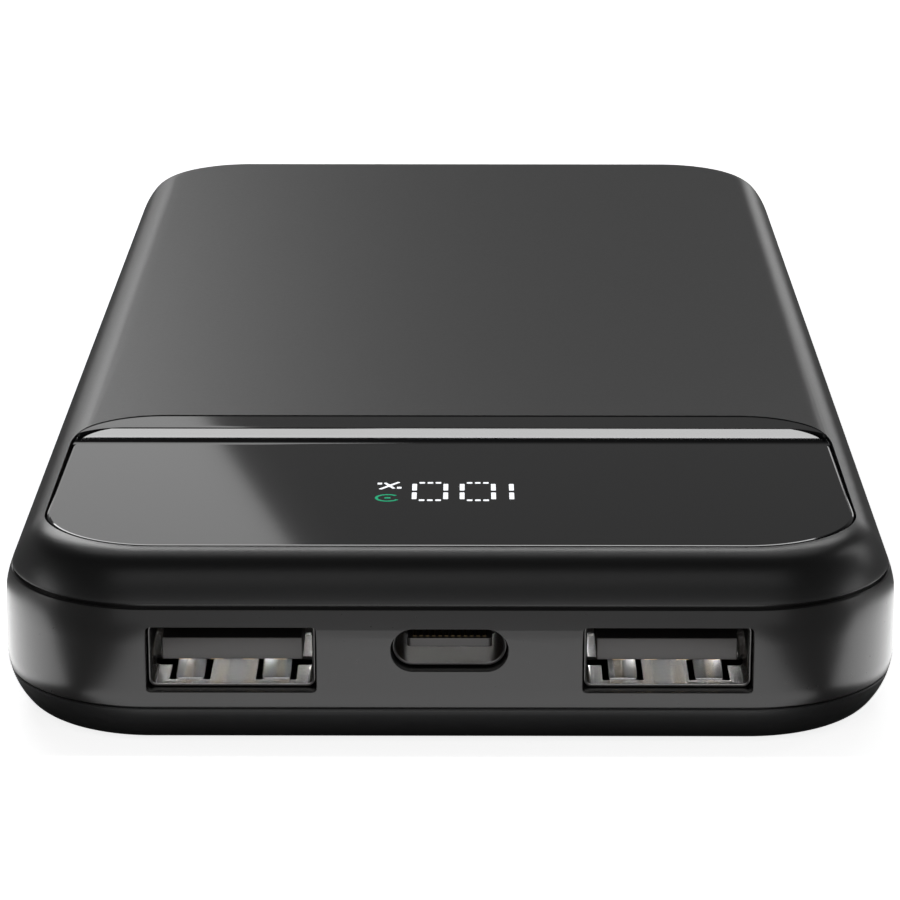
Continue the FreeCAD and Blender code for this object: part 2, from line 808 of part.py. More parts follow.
def ring_about(name, x, y, corners):
    """Turn a closed profile about the vertical through x and y."""
    body = new_body(name)
    profile = new_sketch(body, "profile", "XZ_Plane")
    polygon(profile, corners)
    turn = body.newObject("PartDesign::Revolution", f"{name}_turn")
    turn.Profile = profile
    turn.ReferenceAxis = (profile, ["V_Axis"])
    turn.Angle = 360
    tie(body, ".Placement.Base.x", x)
    tie(body, ".Placement.Base.y", y)
    doc.recompute()
    return keep(body)


def build_inductor():
    rim, core, flange, tall = 4.4, 2.0, 0.9, 5.0
    low, high = f"board_base - {tall}", "board_base"
    ring_about("inductor_core", "0", "-43.5", [
        ("0", low), (rim, low), (rim, f"{low} + {flange}"), (core, f"{low} + {flange}"),
        (core, f"{high} - {flange}"), (rim, f"{high} - {flange}"), (rim, high), ("0", high)])
    ring_about("inductor_winding", "0", "-43.5", [
        (f"{core} + 0.05", f"{low} + {flange} + 0.05"), (f"{rim} - 0.3", f"{low} + {flange} + 0.05"),
        (f"{rim} - 0.3", f"{high} - {flange} - 0.05"), (f"{core} + 0.05", f"{high} - {flange} - 0.05")])


def build_board_parts():
    block("controller_chip", "-9.5", "-46", "board_base - 0.85", "5", "5", "0.85")
    hang("power_transistors", "1.0", draw_transistors)
    hang("ceramic_capacitors", "0.8", draw_ceramics)
    hang("resistors", "0.35", draw_resistors)
    hang("polymer_capacitors", "5.6", draw_polymers)
    build_inductor()


# ---------------------------------------------------------------- sockets


def shell_outline(sketch, x, inset="0"):
    rounded(sketch, x, PORT_Z, f"shell_width - 2 * ({inset})", f"shell_height - 2 * ({inset})",
            f"0.6 - ({inset})")


def tab_slots(sketch, x):
    """Draw the slot that frees one spring tab on three sides."""
    half, slot = "(tab_width / 2)", "tab_slot"
    near = f"({FRONT} + port_setback + tab_start)"
    far = f"({near} + tab_length)"
    polygon(sketch, [(f"{x} - {half} - {slot}", far), (f"{x} - {half} - {slot}", near),
                     (f"{x} + {half} + {slot}", near), (f"{x} + {half} + {slot}", far),
                     (f"{x} + {half}", far), (f"{x} + {half}", f"{near} + {slot}"),
                     (f"{x} - {half}", f"{near} + {slot}"), (f"{x} - {half}", far)])


def build_wide_socket(label, side):
    """Build one of the two wide sockets: steel shell, tongue and contacts."""
    x = f"({side} * port_spacing / 2)"
    shell = new_body(f"usb_a_{label}_shell")
    tube = new_sketch(shell, "tube", "XZ_Plane", SHELL_FRONT)
    shell_outline(tube, x)
    shell_outline(tube, x, "shell_skin")
    pad(tube, "shell_length", back=True)
    slots = new_sketch(shell, "slots", level=f"{PORT_Z} - shell_height / 2 - 0.1")
    for end in (-1, 1):
        tab_slots(slots, f"({x} + {end} * tab_offset)")
    pocket(slots, "shell_skin + 0.3", along=True)
    keep(shell)

    tongue_z = "(board_base - shell_skin - tongue_drop - tongue_thickness / 2)"
    tongue = new_body(f"usb_a_{label}_tongue")
    blade = new_sketch(tongue, "blade", "XZ_Plane", f"{SHELL_FRONT} - tongue_setback")
    rectangle(blade, x, tongue_z, "tongue_width", "tongue_thickness")
    pad(blade, "shell_length - tongue_setback", back=True)
    plug = new_sketch(tongue, "plug", "XZ_Plane", f"{SHELL_FRONT} - shell_length + socket_back")
    shell_outline(plug, x, "shell_skin + 0.03")
    pad(plug, "socket_back", back=True)
    keep(tongue)

    def draw_contacts(sketch):
        for column in range(4):
            rectangle(sketch, f"{x} + ({column} - 1.5) * contact_pitch",
                      f"{FRONT} + port_setback + tongue_setback + 0.6 + contact_length / 2",
                      "contact_width", "contact_length")

    group(f"usb_a_{label}_contacts", f"{tongue_z} - tongue_thickness / 2 - contact_skin",
          "contact_skin", draw_contacts)


def build_oval_socket():
    """Build the oval socket: drawn shell, centre tongue and two rows of contacts."""
    shell = new_body("usb_c_shell")
    tube = new_sketch(shell, "tube", "XZ_Plane", OVAL_FRONT)
    racetrack(tube, "0", OVAL_Z, "oval_width", "oval_height")
    racetrack(tube, "0", OVAL_Z, "oval_width - 2 * oval_skin", "oval_height - 2 * oval_skin")
    pad(tube, "oval_length", back=True)
    keep(shell)

    tongue = new_body("usb_c_tongue")
    blade = new_sketch(tongue, "blade", "XZ_Plane", f"{OVAL_FRONT} - oval_tongue_setback")
    rectangle(blade, "0", OVAL_Z, "oval_tongue_width", "oval_tongue_thickness")
    pad(blade, "oval_length - oval_tongue_setback", back=True)
    plug = new_sketch(tongue, "plug", "XZ_Plane", f"{OVAL_FRONT} - oval_length + oval_back")
    racetrack(plug, "0", OVAL_Z, "oval_width - 2 * oval_skin - 0.06", "oval_height - 2 * oval_skin - 0.06")
    pad(plug, "oval_back", back=True)
    keep(tongue)

    contacts = new_body("usb_c_contacts")
    contacts.AllowCompound = True
    for name, side in (("upper", 1), ("lower", -1)):
        face = f"{OVAL_Z} + {side} * oval_tongue_thickness / 2"
        row = new_sketch(contacts, name, level=face)
        for column in range(12):
            rectangle(row, f"({column} - 5.5) * oval_contact_pitch",
                      f"{FRONT} + oval_setback + oval_tongue_setback + 0.5 + oval_contact_length / 2",
                      "oval_contact_width", "oval_contact_length")
        pad(row, "oval_contact_skin", back=side < 0)
    keep(contacts)


# ---------------------------------------------------------------- power key and switch


def build_key():
    body = new_body("power_button")
    cap = new_sketch(body, "cap", "YZ_Plane", KEY_SHOULDER)
    racetrack(cap, "key_y", "key_z", "key_length", "key_height")
    pad(cap, "wall + key_flange_play - key_sunk")
    face = size("case_width / 2 - key_sunk")
    round_over(body, "key_edge", lambda edge: lies_at(edge, "x", face))
    flange = new_sketch(body, "flange", "YZ_Plane", KEY_SHOULDER)
    racetrack(flange, "key_y", "key_z", "key_length + 2 * key_flange_over",
              "key_height + 2 * key_flange_over")
    pad(flange, "key_flange_thickness", back=True)
    stem = new_sketch(body, "stem", "YZ_Plane", f"{KEY_SHOULDER} - key_flange_thickness")
    rectangle(stem, "key_y", "key_z", "key_stem", "key_stem_height")
    pad(stem, f"{KEY_SHOULDER} - key_flange_thickness - switch_face - plunger_proud - 0.05", back=True)
    return keep(body)


def build_switch():
    body = new_body("switch_body")
    case = new_sketch(body, "case", "YZ_Plane", "switch_face")
    rectangle(case, "key_y", "(switch_base + board_base) / 2", "switch_width",
              "board_base - switch_base")
    pad(case, "switch_depth", back=True)
    bore = new_sketch(body, "bore", "YZ_Plane", "switch_face")
    circle(bore, "key_y", "key_z", "plunger_bore_radius")
    pocket(bore, "plunger_bore_depth")
    keep(body)

    plunger = new_body("switch_plunger")
    rod = new_sketch(plunger, "rod", "YZ_Plane", "switch_face + plunger_proud")
    circle(rod, "key_y", "key_z", "plunger_radius")
    pad(rod, "plunger_proud + plunger_inner", back=True)
    keep(plunger)


# ---------------------------------------------------------------- cells and their wiring


def build_cell(name, level):
    """Build one pouch cell: a block with soft long edges, and its sealed front edge."""
    body = new_body(name)
    pouch = new_sketch(body, "pouch", level=level)
    rounded(pouch, "0", CELL_MIDDLE, "cell_width", "cell_length", "cell_corner")
    pad(pouch, "cell_thickness")
    low = size(level)
    high = low + size("cell_thickness")
    round_over(body, "cell_edge", lambda edge: lies_at(edge, "z", low) or lies_at(edge, "z", high))
    seal = new_sketch(body, "seal", level=f"{level} + cell_thickness / 2 - 0.25")
    rectangle(seal, "0", "cell_front", "cell_width - 6", "3.2")
    pad(seal, "0.5")
    return keep(body)


def draw_strips(sketch):
    for side in (-1, 1):
        rectangle(sketch, f"{side} * cell_width / 4", CELL_MIDDLE, "strip_width", "cell_length - 12")


def build_tab_strips(name, side):
    """Build one pole's pair of nickel strips, from each cell's seal to the guard board."""
    body = new_body(name)
    body.AllowCompound = True
    back = "(guard_y + guard_thickness)"
    near = "(cell_front - 1.6)"
    for label, level in (("lower", LOWER_CELL), ("upper", UPPER_CELL)):
        strip = new_sketch(body, label, level=f"{level} + (cell_thickness - tab_strip_skin) / 2")
        rectangle(strip, f"{side} * tab_strip_x", f"({back} + {near}) / 2", "tab_strip_width",
                  f"{near} - {back}")
        pad(strip, "tab_strip_skin")
    return keep(body)


def build_lead(name, side):
    """Build one lead: an easy double bend from the guard board to its solder joint."""
    body = new_body(name)
    path = new_sketch(body, "path", level="lead_height")
    x = f"({side} * lead_spacing / 2)"
    sway, length = size("lead_sway"), size("lead_length")
    radius = (length**2 + sway**2) / (4 * sway)
    start_x, start_y = size(x), size("guard_y")
    reach = math.asin(length / (2 * radius))
    bends = []
    for hub_x, hub_y, turn in ((start_x + radius, start_y, math.pi),
                               (start_x + sway - radius, start_y - length, 0)):
        ring = Part.Circle(FreeCAD.Vector(hub_x, hub_y, 0), UP, radius)
        bends.append(Part.ArcOfCircle(ring, turn, turn + reach))
    for bend in bends:
        path.addGeometry(bend)
    constrain(path, "Tangent", 0, 2, 1, 2)
    constrain(path, "Equal", 0, 1)
    constrain(path, "Horizontal", 0, 3, 0, 1)
    constrain(path, "Horizontal", 1, 3, 1, 1)
    place_point(path, 0, 1, x, "guard_y")
    place_point(path, 1, 1, f"{x} + lead_sway", "guard_y - lead_length")
    section = new_sketch(body, "section", "XZ_Plane", "-guard_y")
    circle(section, x, "lead_height", "lead_radius")
    sweep = body.newObject("PartDesign::AdditivePipe", f"{name}_sweep")
    sweep.Profile = section
    sweep.Spine = path
    doc.recompute()
    return keep(body)


def draw_joints(sketch):
    for side in (-1, 1):
        rectangle(sketch, f"{side} * lead_spacing / 2 + lead_sway",
                  "guard_y - lead_length - joint_length / 2", "joint_width", "joint_length")


def build_cells():
    build_cell("battery_cell_lower", LOWER_CELL)
    build_cell("battery_cell_upper", UPPER_CELL)
    group("cell_strips_lower", "base_skin", "strip_thickness", draw_strips)
    group("cell_strips_middle", f"{LOWER_CELL} + cell_thickness", "strip_thickness", draw_strips)
    foam = new_body("foam_pad")
    sheet_outline = new_sketch(foam, "outline", level=f"{UPPER_CELL} + cell_thickness")
    rounded(sheet_outline, "0", CELL_MIDDLE, "foam_width", "cell_length - 16", "cell_corner")
    pad(sheet_outline, "foam_thickness")
    keep(foam)
    block("protection_board", "0", "guard_y + guard_thickness / 2", "guard_base", "guard_width",
          "guard_thickness", "guard_top - guard_base")
    build_tab_strips("positive_tabs", -1)
    build_tab_strips("negative_tabs", 1)
    group("protection_chips", "6.2", "1.6", lambda sketch: [
        rectangle(sketch, f"{column} * 3.4", "guard_y + guard_thickness + 0.45", "2.4", "0.9")
        for column in (-1, 0, 1)])
    build_lead("positive_lead", -1)
    build_lead("negative_lead", 1)
    group("lead_joints", "lead_height - lead_radius", "board_base - lead_height + lead_radius",
          draw_joints)


# ---------------------------------------------------------------- make, check and write


def check_document():
    """Stop on any failed object, and on any sub-part that isn't sound solids."""
    failed = [item.Name for item in doc.Objects if "Invalid" in item.State or "Error" in item.State]
    if failed:
        raise RuntimeError(f"failed objects: {failed}")
    for node in nodes:
        shape = node.Shape
        if shape.isNull() or not shape.isValid() or not shape.Solids:
            raise RuntimeError(f"{node.Name} is not a sound solid")


def write_parts():
    os.makedirs("parts", exist_ok=True)
    for node in nodes:
        node.Shape.exportStep(os.path.join("parts", f"{node.Label}.step"))
        print(f"{node.Label}: {len(node.Shape.Solids)} solid(s), {node.Shape.Volume:.1f} mm3")


build_top_cover()
build_middle_frame()
build_bottom_cover()
build_display()
build_board()
build_screws()
build_board_parts()
build_wide_socket("left", -1)
build_wide_socket("right", 1)
build_oval_socket()
build_key()
build_switch()
build_cells()
doc.recompute()
check_document()
write_parts()
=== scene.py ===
"""Looks of a slim power bank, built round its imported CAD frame.

Lengths are metres. +Z is up, +Y runs from the sockets' end to the rear, and the sockets'
face is at -Y. Cross-sections of the case are given as inset from its widest outline and
height above the table.
"""
import json
import logging
import math
from dataclasses import dataclass, field
from enum import Enum

import bmesh
import bpy
from mathutils import Matrix, Vector


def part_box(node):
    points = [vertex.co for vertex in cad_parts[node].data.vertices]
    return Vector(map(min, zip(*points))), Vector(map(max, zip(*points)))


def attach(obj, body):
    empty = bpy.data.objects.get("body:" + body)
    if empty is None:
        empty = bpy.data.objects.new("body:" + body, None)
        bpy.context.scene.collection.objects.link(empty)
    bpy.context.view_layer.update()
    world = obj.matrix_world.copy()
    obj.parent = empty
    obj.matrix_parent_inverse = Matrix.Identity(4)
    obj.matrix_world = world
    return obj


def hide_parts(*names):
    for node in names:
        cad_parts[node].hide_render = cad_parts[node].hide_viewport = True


MM = 0.001
CASE_BODY = "case"
SHELLS = ("socket_left_shell", "socket_right_shell", "oval_shell")
SPARE = 1 * MM  # how far a cutter runs past what it cuts
CUT_DEPTH = 3 * MM  # how deep an opening's cutter goes into a wall
ALIGNED = 0.999  # least cosine at which an edge or face counts as lined up with an axis
SAME_PLACE = 1e-6  # metres within which two places count as one
MOTTLE_CELL = 9.0 * MM  # size of the broad patches in a finish's colour
COAT_ROUGHNESS = 0.03  # of a clear layer
CAD_CREASE = 30.0  # edges of CAD nodes sharper than this many degrees stay sharp
PANEL_LIFT = 0.2 * MM  # height of the light panels above the table
BRUSHING = (1.0, 0.06, 1.0)  # how a brushed relief is drawn out along the case

log = logging.getLogger("power_bank")


# ------------------------------------------------------------------ materials


class Pattern(Enum):
    """Kinds of surface relief that a finish can have."""

    NONE = "none"
    FINE_GRAIN = "fine_grain"
    BRUSHED = "brushed"
    FIBRE = "fibre"


@dataclass(frozen=True)
class Finish:
    """One material: its colour, gloss and procedural surface detail.

    Args:
        name: the record's material slot, and the material's name.
        colour: linear base colour.
        roughness: lowest and highest roughness that the noise mixes.
        metallic: 1 for bare metal.
        specular: reflection at normal incidence; 0.5 is plain plastic.
        coat: weight of a clear layer.
        relief: kind of surface relief.
        grain: size of the relief's cells in metres.
        depth: height of the relief in metres.
        tint: how far the noise lightens or darkens the colour, 0 to 1.
        glow: strength of the light it gives off.
    """

    name: str
    colour: tuple[float, float, float]
    roughness: tuple[float, float] = (0.4, 0.5)
    metallic: float = 0.0
    specular: float = 0.5
    coat: float = 0.0
    relief: Pattern = Pattern.FINE_GRAIN
    grain: float = 0.25 * MM
    depth: float = 0.01 * MM
    tint: float = 0.12
    glow: float = 0.0

    def material(self) -> bpy.types.Material:
        """Make the material, or find it if it is made already.

        Returns:
            The node material of this finish.
        """
        known = bpy.data.materials.get(self.name + "_finish")
        if known:
            return known
        made = bpy.data.materials.new(self.name + "_finish")
        made.use_nodes = True
        nodes, links = made.node_tree.nodes, made.node_tree.links
        shader = nodes["Principled BSDF"]
        shader.inputs["Metallic"].default_value = self.metallic
        shader.inputs["Specular IOR Level"].default_value = self.specular
        shader.inputs["Coat Weight"].default_value = self.coat
        shader.inputs["Coat Roughness"].default_value = COAT_ROUGHNESS
        place = nodes.new("ShaderNodeTexCoord")
        spread = nodes.new("ShaderNodeMapping")
        if self.relief is Pattern.BRUSHED:
            spread.inputs["Scale"].default_value = BRUSHING
        links.new(place.outputs["Object"], spread.inputs["Vector"])
        self._mottle(nodes, links, spread, shader)
        if self.relief is not Pattern.NONE:
            self._relief(nodes, links, spread, shader)
        if self.glow:
            shader.inputs["Emission Color"].default_value = (*self.colour, 1.0)
            shader.inputs["Emission Strength"].default_value = self.glow
        return made

    def _noise(self, nodes: bpy.types.Nodes, links: bpy.types.NodeLinks, spread: bpy.types.Node,
               cell: float, detail: float) -> bpy.types.Node:
        """Add a noise texture on object coordinates.

        Args:
            nodes: the material's nodes.
            links: the material's links.
            spread: the mapping node to read.
            cell: size of one cell in metres.
            detail: number of finer layers.

        Returns:
            The noise node.
        """
        noise = nodes.new("ShaderNodeTexNoise")
        noise.inputs["Scale"].default_value = 1.0 / cell
        noise.inputs["Detail"].default_value = detail
        links.new(spread.outputs["Vector"], noise.inputs["Vector"])
        return noise

    def _mottle(self, nodes: bpy.types.Nodes, links: bpy.types.NodeLinks, spread: bpy.types.Node,
                shader: bpy.types.Node) -> None:
        """Vary the colour and the roughness a little with noise.

        Args:
            nodes: the material's nodes.
            links: the material's links.
            spread: the mapping node to read.
            shader: the shader that gets the colour and the roughness.
        """
        darker = [part * (1 - self.tint) for part in self.colour]
        lighter = [min(1.0, part * (1 + self.tint)) for part in self.colour]
        broad = self._noise(nodes, links, spread, MOTTLE_CELL, 3.0)
        shade = nodes.new("ShaderNodeMixRGB")
        shade.inputs["Color1"].default_value = (*darker, 1.0)
        shade.inputs["Color2"].default_value = (*lighter, 1.0)
        links.new(broad.outputs["Fac"], shade.inputs["Fac"])
        links.new(shade.outputs["Color"], shader.inputs["Base Color"])
        fine = self._noise(nodes, links, spread, 3.0 * self.grain, 4.0)
        gloss = nodes.new("ShaderNodeMapRange")
        gloss.inputs["To Min"].default_value, gloss.inputs["To Max"].default_value = self.roughness
        links.new(fine.outputs["Fac"], gloss.inputs["Value"])
        links.new(gloss.outputs["Result"], shader.inputs["Roughness"])

    def _relief(self, nodes: bpy.types.Nodes, links: bpy.types.NodeLinks, spread: bpy.types.Node,
                shader: bpy.types.Node) -> None:
        """Raise a fine relief: moulded grain, brushing or laminate weave.

        Args:
            nodes: the material's nodes.
            links: the material's links.
            spread: the mapping node to read.
            shader: the shader that gets the relief.
        """
        if self.relief is Pattern.FIBRE:
            cells = nodes.new("ShaderNodeTexVoronoi")
            cells.inputs["Scale"].default_value = 1.0 / self.grain
            links.new(spread.outputs["Vector"], cells.inputs["Vector"])
            height = cells.outputs["Distance"]
        else:
            height = self._noise(nodes, links, spread, self.grain, 6.0).outputs["Fac"]
        bump = nodes.new("ShaderNodeBump")
        bump.inputs["Strength"].default_value = 1.0
        bump.inputs["Distance"].default_value = self.depth
        links.new(height, bump.inputs["Height"])
        links.new(bump.outputs["Normal"], shader.inputs["Normal"])


FINISHES = {finish.name: finish for finish in (
    Finish("cover_plastic", (0.012, 0.012, 0.0122), (0.30, 0.35), grain=0.12 * MM, depth=0.004 * MM),
    Finish("band_plastic", (0.012, 0.0115, 0.0115), (0.26, 0.31), grain=0.15 * MM, depth=0.002 * MM),
    Finish("window_gloss", (0.006, 0.006, 0.0065), (0.05, 0.06), relief=Pattern.NONE, tint=0.03),
    Finish("lit_white", (0.93, 0.96, 1.0), (0.3, 0.35), specular=0.1, relief=Pattern.NONE,
           tint=0.02, glow=0.85),
    Finish("lit_green", (0.0, 0.30, 0.14), (0.3, 0.35), specular=0.1, relief=Pattern.NONE,
           tint=0.02, glow=0.9),
    Finish("socket_steel", (0.60, 0.59, 0.58), (0.22, 0.27), 0.95, relief=Pattern.BRUSHED,
           grain=0.08 * MM, depth=0.0004 * MM, tint=0.05),
    Finish("oval_steel", (0.40, 0.395, 0.39), (0.26, 0.32), 1.0, relief=Pattern.BRUSHED,
           grain=0.08 * MM, depth=0.001 * MM, tint=0.05),
    Finish("socket_insulator", (0.034, 0.031, 0.030), (0.36, 0.44), grain=0.1 * MM, depth=0.002 * MM),
    Finish("contact_gold", (0.66, 0.50, 0.27), (0.18, 0.25), 1.0, relief=Pattern.BRUSHED,
           grain=0.06 * MM, depth=0.0005 * MM, tint=0.05),
    Finish("key_plastic", (0.024, 0.023, 0.023), (0.28, 0.34), grain=0.12 * MM, depth=0.003 * MM),
    Finish("switch_plastic", (0.03, 0.03, 0.03), (0.45, 0.55)),
    Finish("board_laminate", (0.012, 0.10, 0.045), (0.3, 0.4), coat=0.4, relief=Pattern.FIBRE,
           grain=0.5 * MM, depth=0.004 * MM),
    Finish("chip_black", (0.02, 0.02, 0.021), (0.5, 0.62)),
    Finish("capacitor_can", (0.72, 0.73, 0.75), (0.22, 0.3), 1.0, relief=Pattern.BRUSHED),
    Finish("ceramic_tan", (0.48, 0.34, 0.21), (0.4, 0.5)),
    Finish("ferrite_grey", (0.06, 0.06, 0.065), (0.55, 0.7), grain=0.2 * MM),
    Finish("copper_wire", (0.75, 0.30, 0.12), (0.2, 0.3), 1.0, relief=Pattern.BRUSHED),
    Finish("screw_steel", (0.55, 0.55, 0.57), (0.25, 0.35), 1.0, relief=Pattern.BRUSHED),
    Finish("pouch_foil", (0.66, 0.67, 0.69), (0.3, 0.42), 1.0, grain=0.9 * MM, depth=0.02 * MM),
    Finish("nickel_strip", (0.62, 0.60, 0.56), (0.25, 0.35), 1.0, relief=Pattern.BRUSHED),
    Finish("foam_grey", (0.07, 0.07, 0.07), (0.8, 0.95), relief=Pattern.FIBRE,
           grain=0.6 * MM, depth=0.1 * MM),
    Finish("tape_white", (0.75, 0.74, 0.68), (0.6, 0.8), grain=0.4 * MM),
    Finish("tape_black", (0.015, 0.015, 0.015), (0.7, 0.85), grain=0.4 * MM),
    Finish("lead_red", (0.45, 0.012, 0.01), (0.35, 0.45)),
    Finish("lead_black", (0.012, 0.012, 0.012), (0.35, 0.45)),
    Finish("solder", (0.6, 0.6, 0.62), (0.25, 0.4), 1.0, grain=0.3 * MM),
)}


# ------------------------------------------------------------------ mesh helpers


def placed(shape: bmesh.types.BMesh, name: str) -> bpy.types.Object:
    """Turn a bmesh into an object in the scene.

    Args:
        shape: the mesh, which is freed here.
        name: name of the new object and of its mesh.

    Returns:
        The new object.
    """
    mesh = bpy.data.meshes.new(name)
    shape.to_mesh(mesh)
    shape.free()
    made = bpy.data.objects.new(name, mesh)
    bpy.context.scene.collection.objects.link(made)
    return made


def finished_piece(shape: bmesh.types.BMesh, name: str, slot: str, body: str = CASE_BODY,
                   stands_for: tuple[str, ...] = (), crease: float = 28.0) -> bpy.types.Object:
    """Turn a bmesh into a piece that rides on a body and wears its finish.

    Args:
        shape: the mesh, which is freed here.
        name: name of the new piece.
        slot: material slot in the record.
        body: CAD body that carries the piece.
        stands_for: CAD nodes that the piece replaces.
        crease: edges sharper than this many degrees stay sharp.

    Returns:
        The new object.
    """
    bmesh.ops.remove_doubles(shape, verts=shape.verts, dist=0.0002 * MM)
    piece = placed(shape, name)
    dress(piece, slot, crease)
    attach(piece, body)
    if stands_for:
        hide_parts(*stands_for)
    log.info("%s: %d faces", name, len(piece.data.polygons))
    return piece


def dress(piece: bpy.types.Object, slot: str, crease: float) -> None:
    """Give a piece its finish and smooth shading with creases.

    Args:
        piece: the object to dress.
        slot: name of the finish.
        crease: edges sharper than this many degrees stay sharp.
    """
    mesh = piece.data
    mesh.materials.clear()
    mesh.materials.append(FINISHES[slot].material())
    mesh.polygons.foreach_set("use_smooth", [True] * len(mesh.polygons))
    mesh.polygons.foreach_set("material_index", [0] * len(mesh.polygons))
    mesh.set_sharp_from_angle(angle=math.radians(crease))
    mesh.update()


def block(centre: Vector, size: Vector) -> bmesh.types.BMesh:
    """Make a box.

    Args:
        centre: its middle.
        size: its full size along each axis.

    Returns:
        A new bmesh.
    """
    shape = bmesh.new()
    place = Matrix.Translation(centre) @ Matrix.Diagonal((*size, 1.0))
    bmesh.ops.create_cube(shape, size=1.0, matrix=place)
    return shape


def edges_along(shape: bmesh.types.BMesh, axis: int) -> list[bmesh.types.BMEdge]:
    """List the edges that run along one axis.

    Args:
        shape: the mesh.
        axis: 0, 1 or 2 for X, Y or Z.

    Returns:
        The edges.
    """
    found = []
    for edge in shape.edges:
        run = edge.verts[1].co - edge.verts[0].co
        if abs(run[axis]) > ALIGNED * run.length:
            found.append(edge)
    return found


def round_edges(shape: bmesh.types.BMesh, edges: list[bmesh.types.BMEdge], radius: float,
                steps: int) -> None:
    """Round a list of edges."""
    bmesh.ops.bevel(shape, geom=edges, offset=radius, offset_type="OFFSET", segments=steps,
                    profile=0.5, affect="EDGES", material=-1, clamp_overlap=False)


def rounded_block(centre: Vector, size: Vector, axis: int, radius: float,
                  steps: int = 8) -> bmesh.types.BMesh:
    """Make a box whose edges along one axis are rounded.

    Args:
        centre: its middle.
        size: its full size.
        axis: the axis that the rounded edges run along.
        radius: their radius.
        steps: facets in each round.

    Returns:
        A new bmesh.
    """
    shape = block(centre, size)
    across = [size[other] for other in range(3) if other != axis]
    limit = min(across) / 2 * 0.9995
    round_edges(shape, edges_along(shape, axis), min(radius, limit), steps)
    return shape


def end_face(shape: bmesh.types.BMesh, axis: int, high: bool) -> bmesh.types.BMFace:
    """Find the flat face at one end of a block.

    Args:
        shape: the mesh.
        axis: 0, 1 or 2 for X, Y or Z.
        high: whether it is the end with the higher coordinate.

    Returns:
        The face.
    """
    pick = max if high else min
    faces = [face for face in shape.faces if abs(face.normal[axis]) > ALIGNED]
    return pick(faces, key=lambda face: face.calc_center_median()[axis])


def push_face(shape: bmesh.types.BMesh, face: bmesh.types.BMFace, shift: Vector,
              grow: float = 0.0) -> bmesh.types.BMFace:
    """Extrude a flat face and widen or narrow the new end.

    Args:
        shape: the mesh.
        face: the face to extrude.
        shift: how far the new end moves.
        grow: how far each side of the new end moves outwards.

    Returns:
        The new end face.
    """
    normal = face.normal.copy()
    made = bmesh.ops.extrude_face_region(shape, geom=[face])
    bmesh.ops.delete(shape, geom=[face], context="FACES_ONLY")
    verts = [item for item in made["geom"] if isinstance(item, bmesh.types.BMVert)]
    end = next(item for item in made["geom"] if isinstance(item, bmesh.types.BMFace))
    middle = end.calc_center_bounds()
    low = Vector([min(vert.co[axis] for vert in verts) for axis in range(3)])
    high = Vector([max(vert.co[axis] for vert in verts) for axis in range(3)])
    factors = []
    for axis in range(3):
        span = high[axis] - low[axis]
        along_push = abs(normal[axis]) > ALIGNED
        factors.append(1.0 if along_push or span == 0 else (span + 2 * grow) / span)
    for vert in verts:
        offset = vert.co - middle
        vert.co = middle + Vector([offset[axis] * factors[axis] for axis in range(3)]) + shift
    end.normal_update()
    return end


def split_at(shape: bmesh.types.BMesh, y: float, clear_front: bool = False,
             clear_rear: bool = False) -> list[bmesh.types.BMEdge]:
    """Cut the faces of a mesh at a place along the case.

    Args:
        shape: the mesh.
        y: the place.
        clear_front: whether what lies in front of the place is taken away.
        clear_rear: whether what lies behind it is taken away.

    Returns:
        The edges on the cut.
    """
    cut = bmesh.ops.bisect_plane(shape, geom=shape.verts[:] + shape.edges[:] + shape.faces[:],
                                 dist=0.1 * SAME_PLACE, plane_co=(0, y, 0), plane_no=(0, 1, 0),
                                 clear_outer=clear_rear, clear_inner=clear_front)
    return [item for item in cut["geom_cut"] if isinstance(item, bmesh.types.BMEdge)]


def join(*shapes: bmesh.types.BMesh) -> bmesh.types.BMesh:
    """Put several meshes into the first one, as separate shells.

    Args:
        *shapes: the meshes; all but the first are freed here.

    Returns:
        The first mesh.
    """
    first, *others = shapes
    for other in others:
        store = bpy.data.meshes.new("joined")
        other.to_mesh(store)
        other.free()
        first.from_mesh(store)
        bpy.data.meshes.remove(store)
    return first


def carve(shape: bmesh.types.BMesh, cutter: bmesh.types.BMesh) -> bmesh.types.BMesh:
    """Cut one closed mesh out of another.

    Args:
        shape: the mesh to cut, freed here.
        cutter: the mesh to take away, freed here.

    Returns:
        The mesh that is left.
    """
    for part in (shape, cutter):
        bmesh.ops.recalc_face_normals(part, faces=part.faces)
    holders = [placed(shape, "kept"), placed(cutter, "taken")]
    kept, taken = holders
    cut = kept.modifiers.new("cut", "BOOLEAN")
    cut.operation, cut.solver, cut.object = "DIFFERENCE", "EXACT", taken
    bpy.context.view_layer.update()
    graph = bpy.context.evaluated_depsgraph_get()
    result = bpy.data.meshes.new_from_object(kept.evaluated_get(graph))
    left = bmesh.new()
    left.from_mesh(result)
    for holder in holders:
        mesh = holder.data
        bpy.data.objects.remove(holder)
        bpy.data.meshes.remove(mesh)
    bpy.data.meshes.remove(result)
    return left


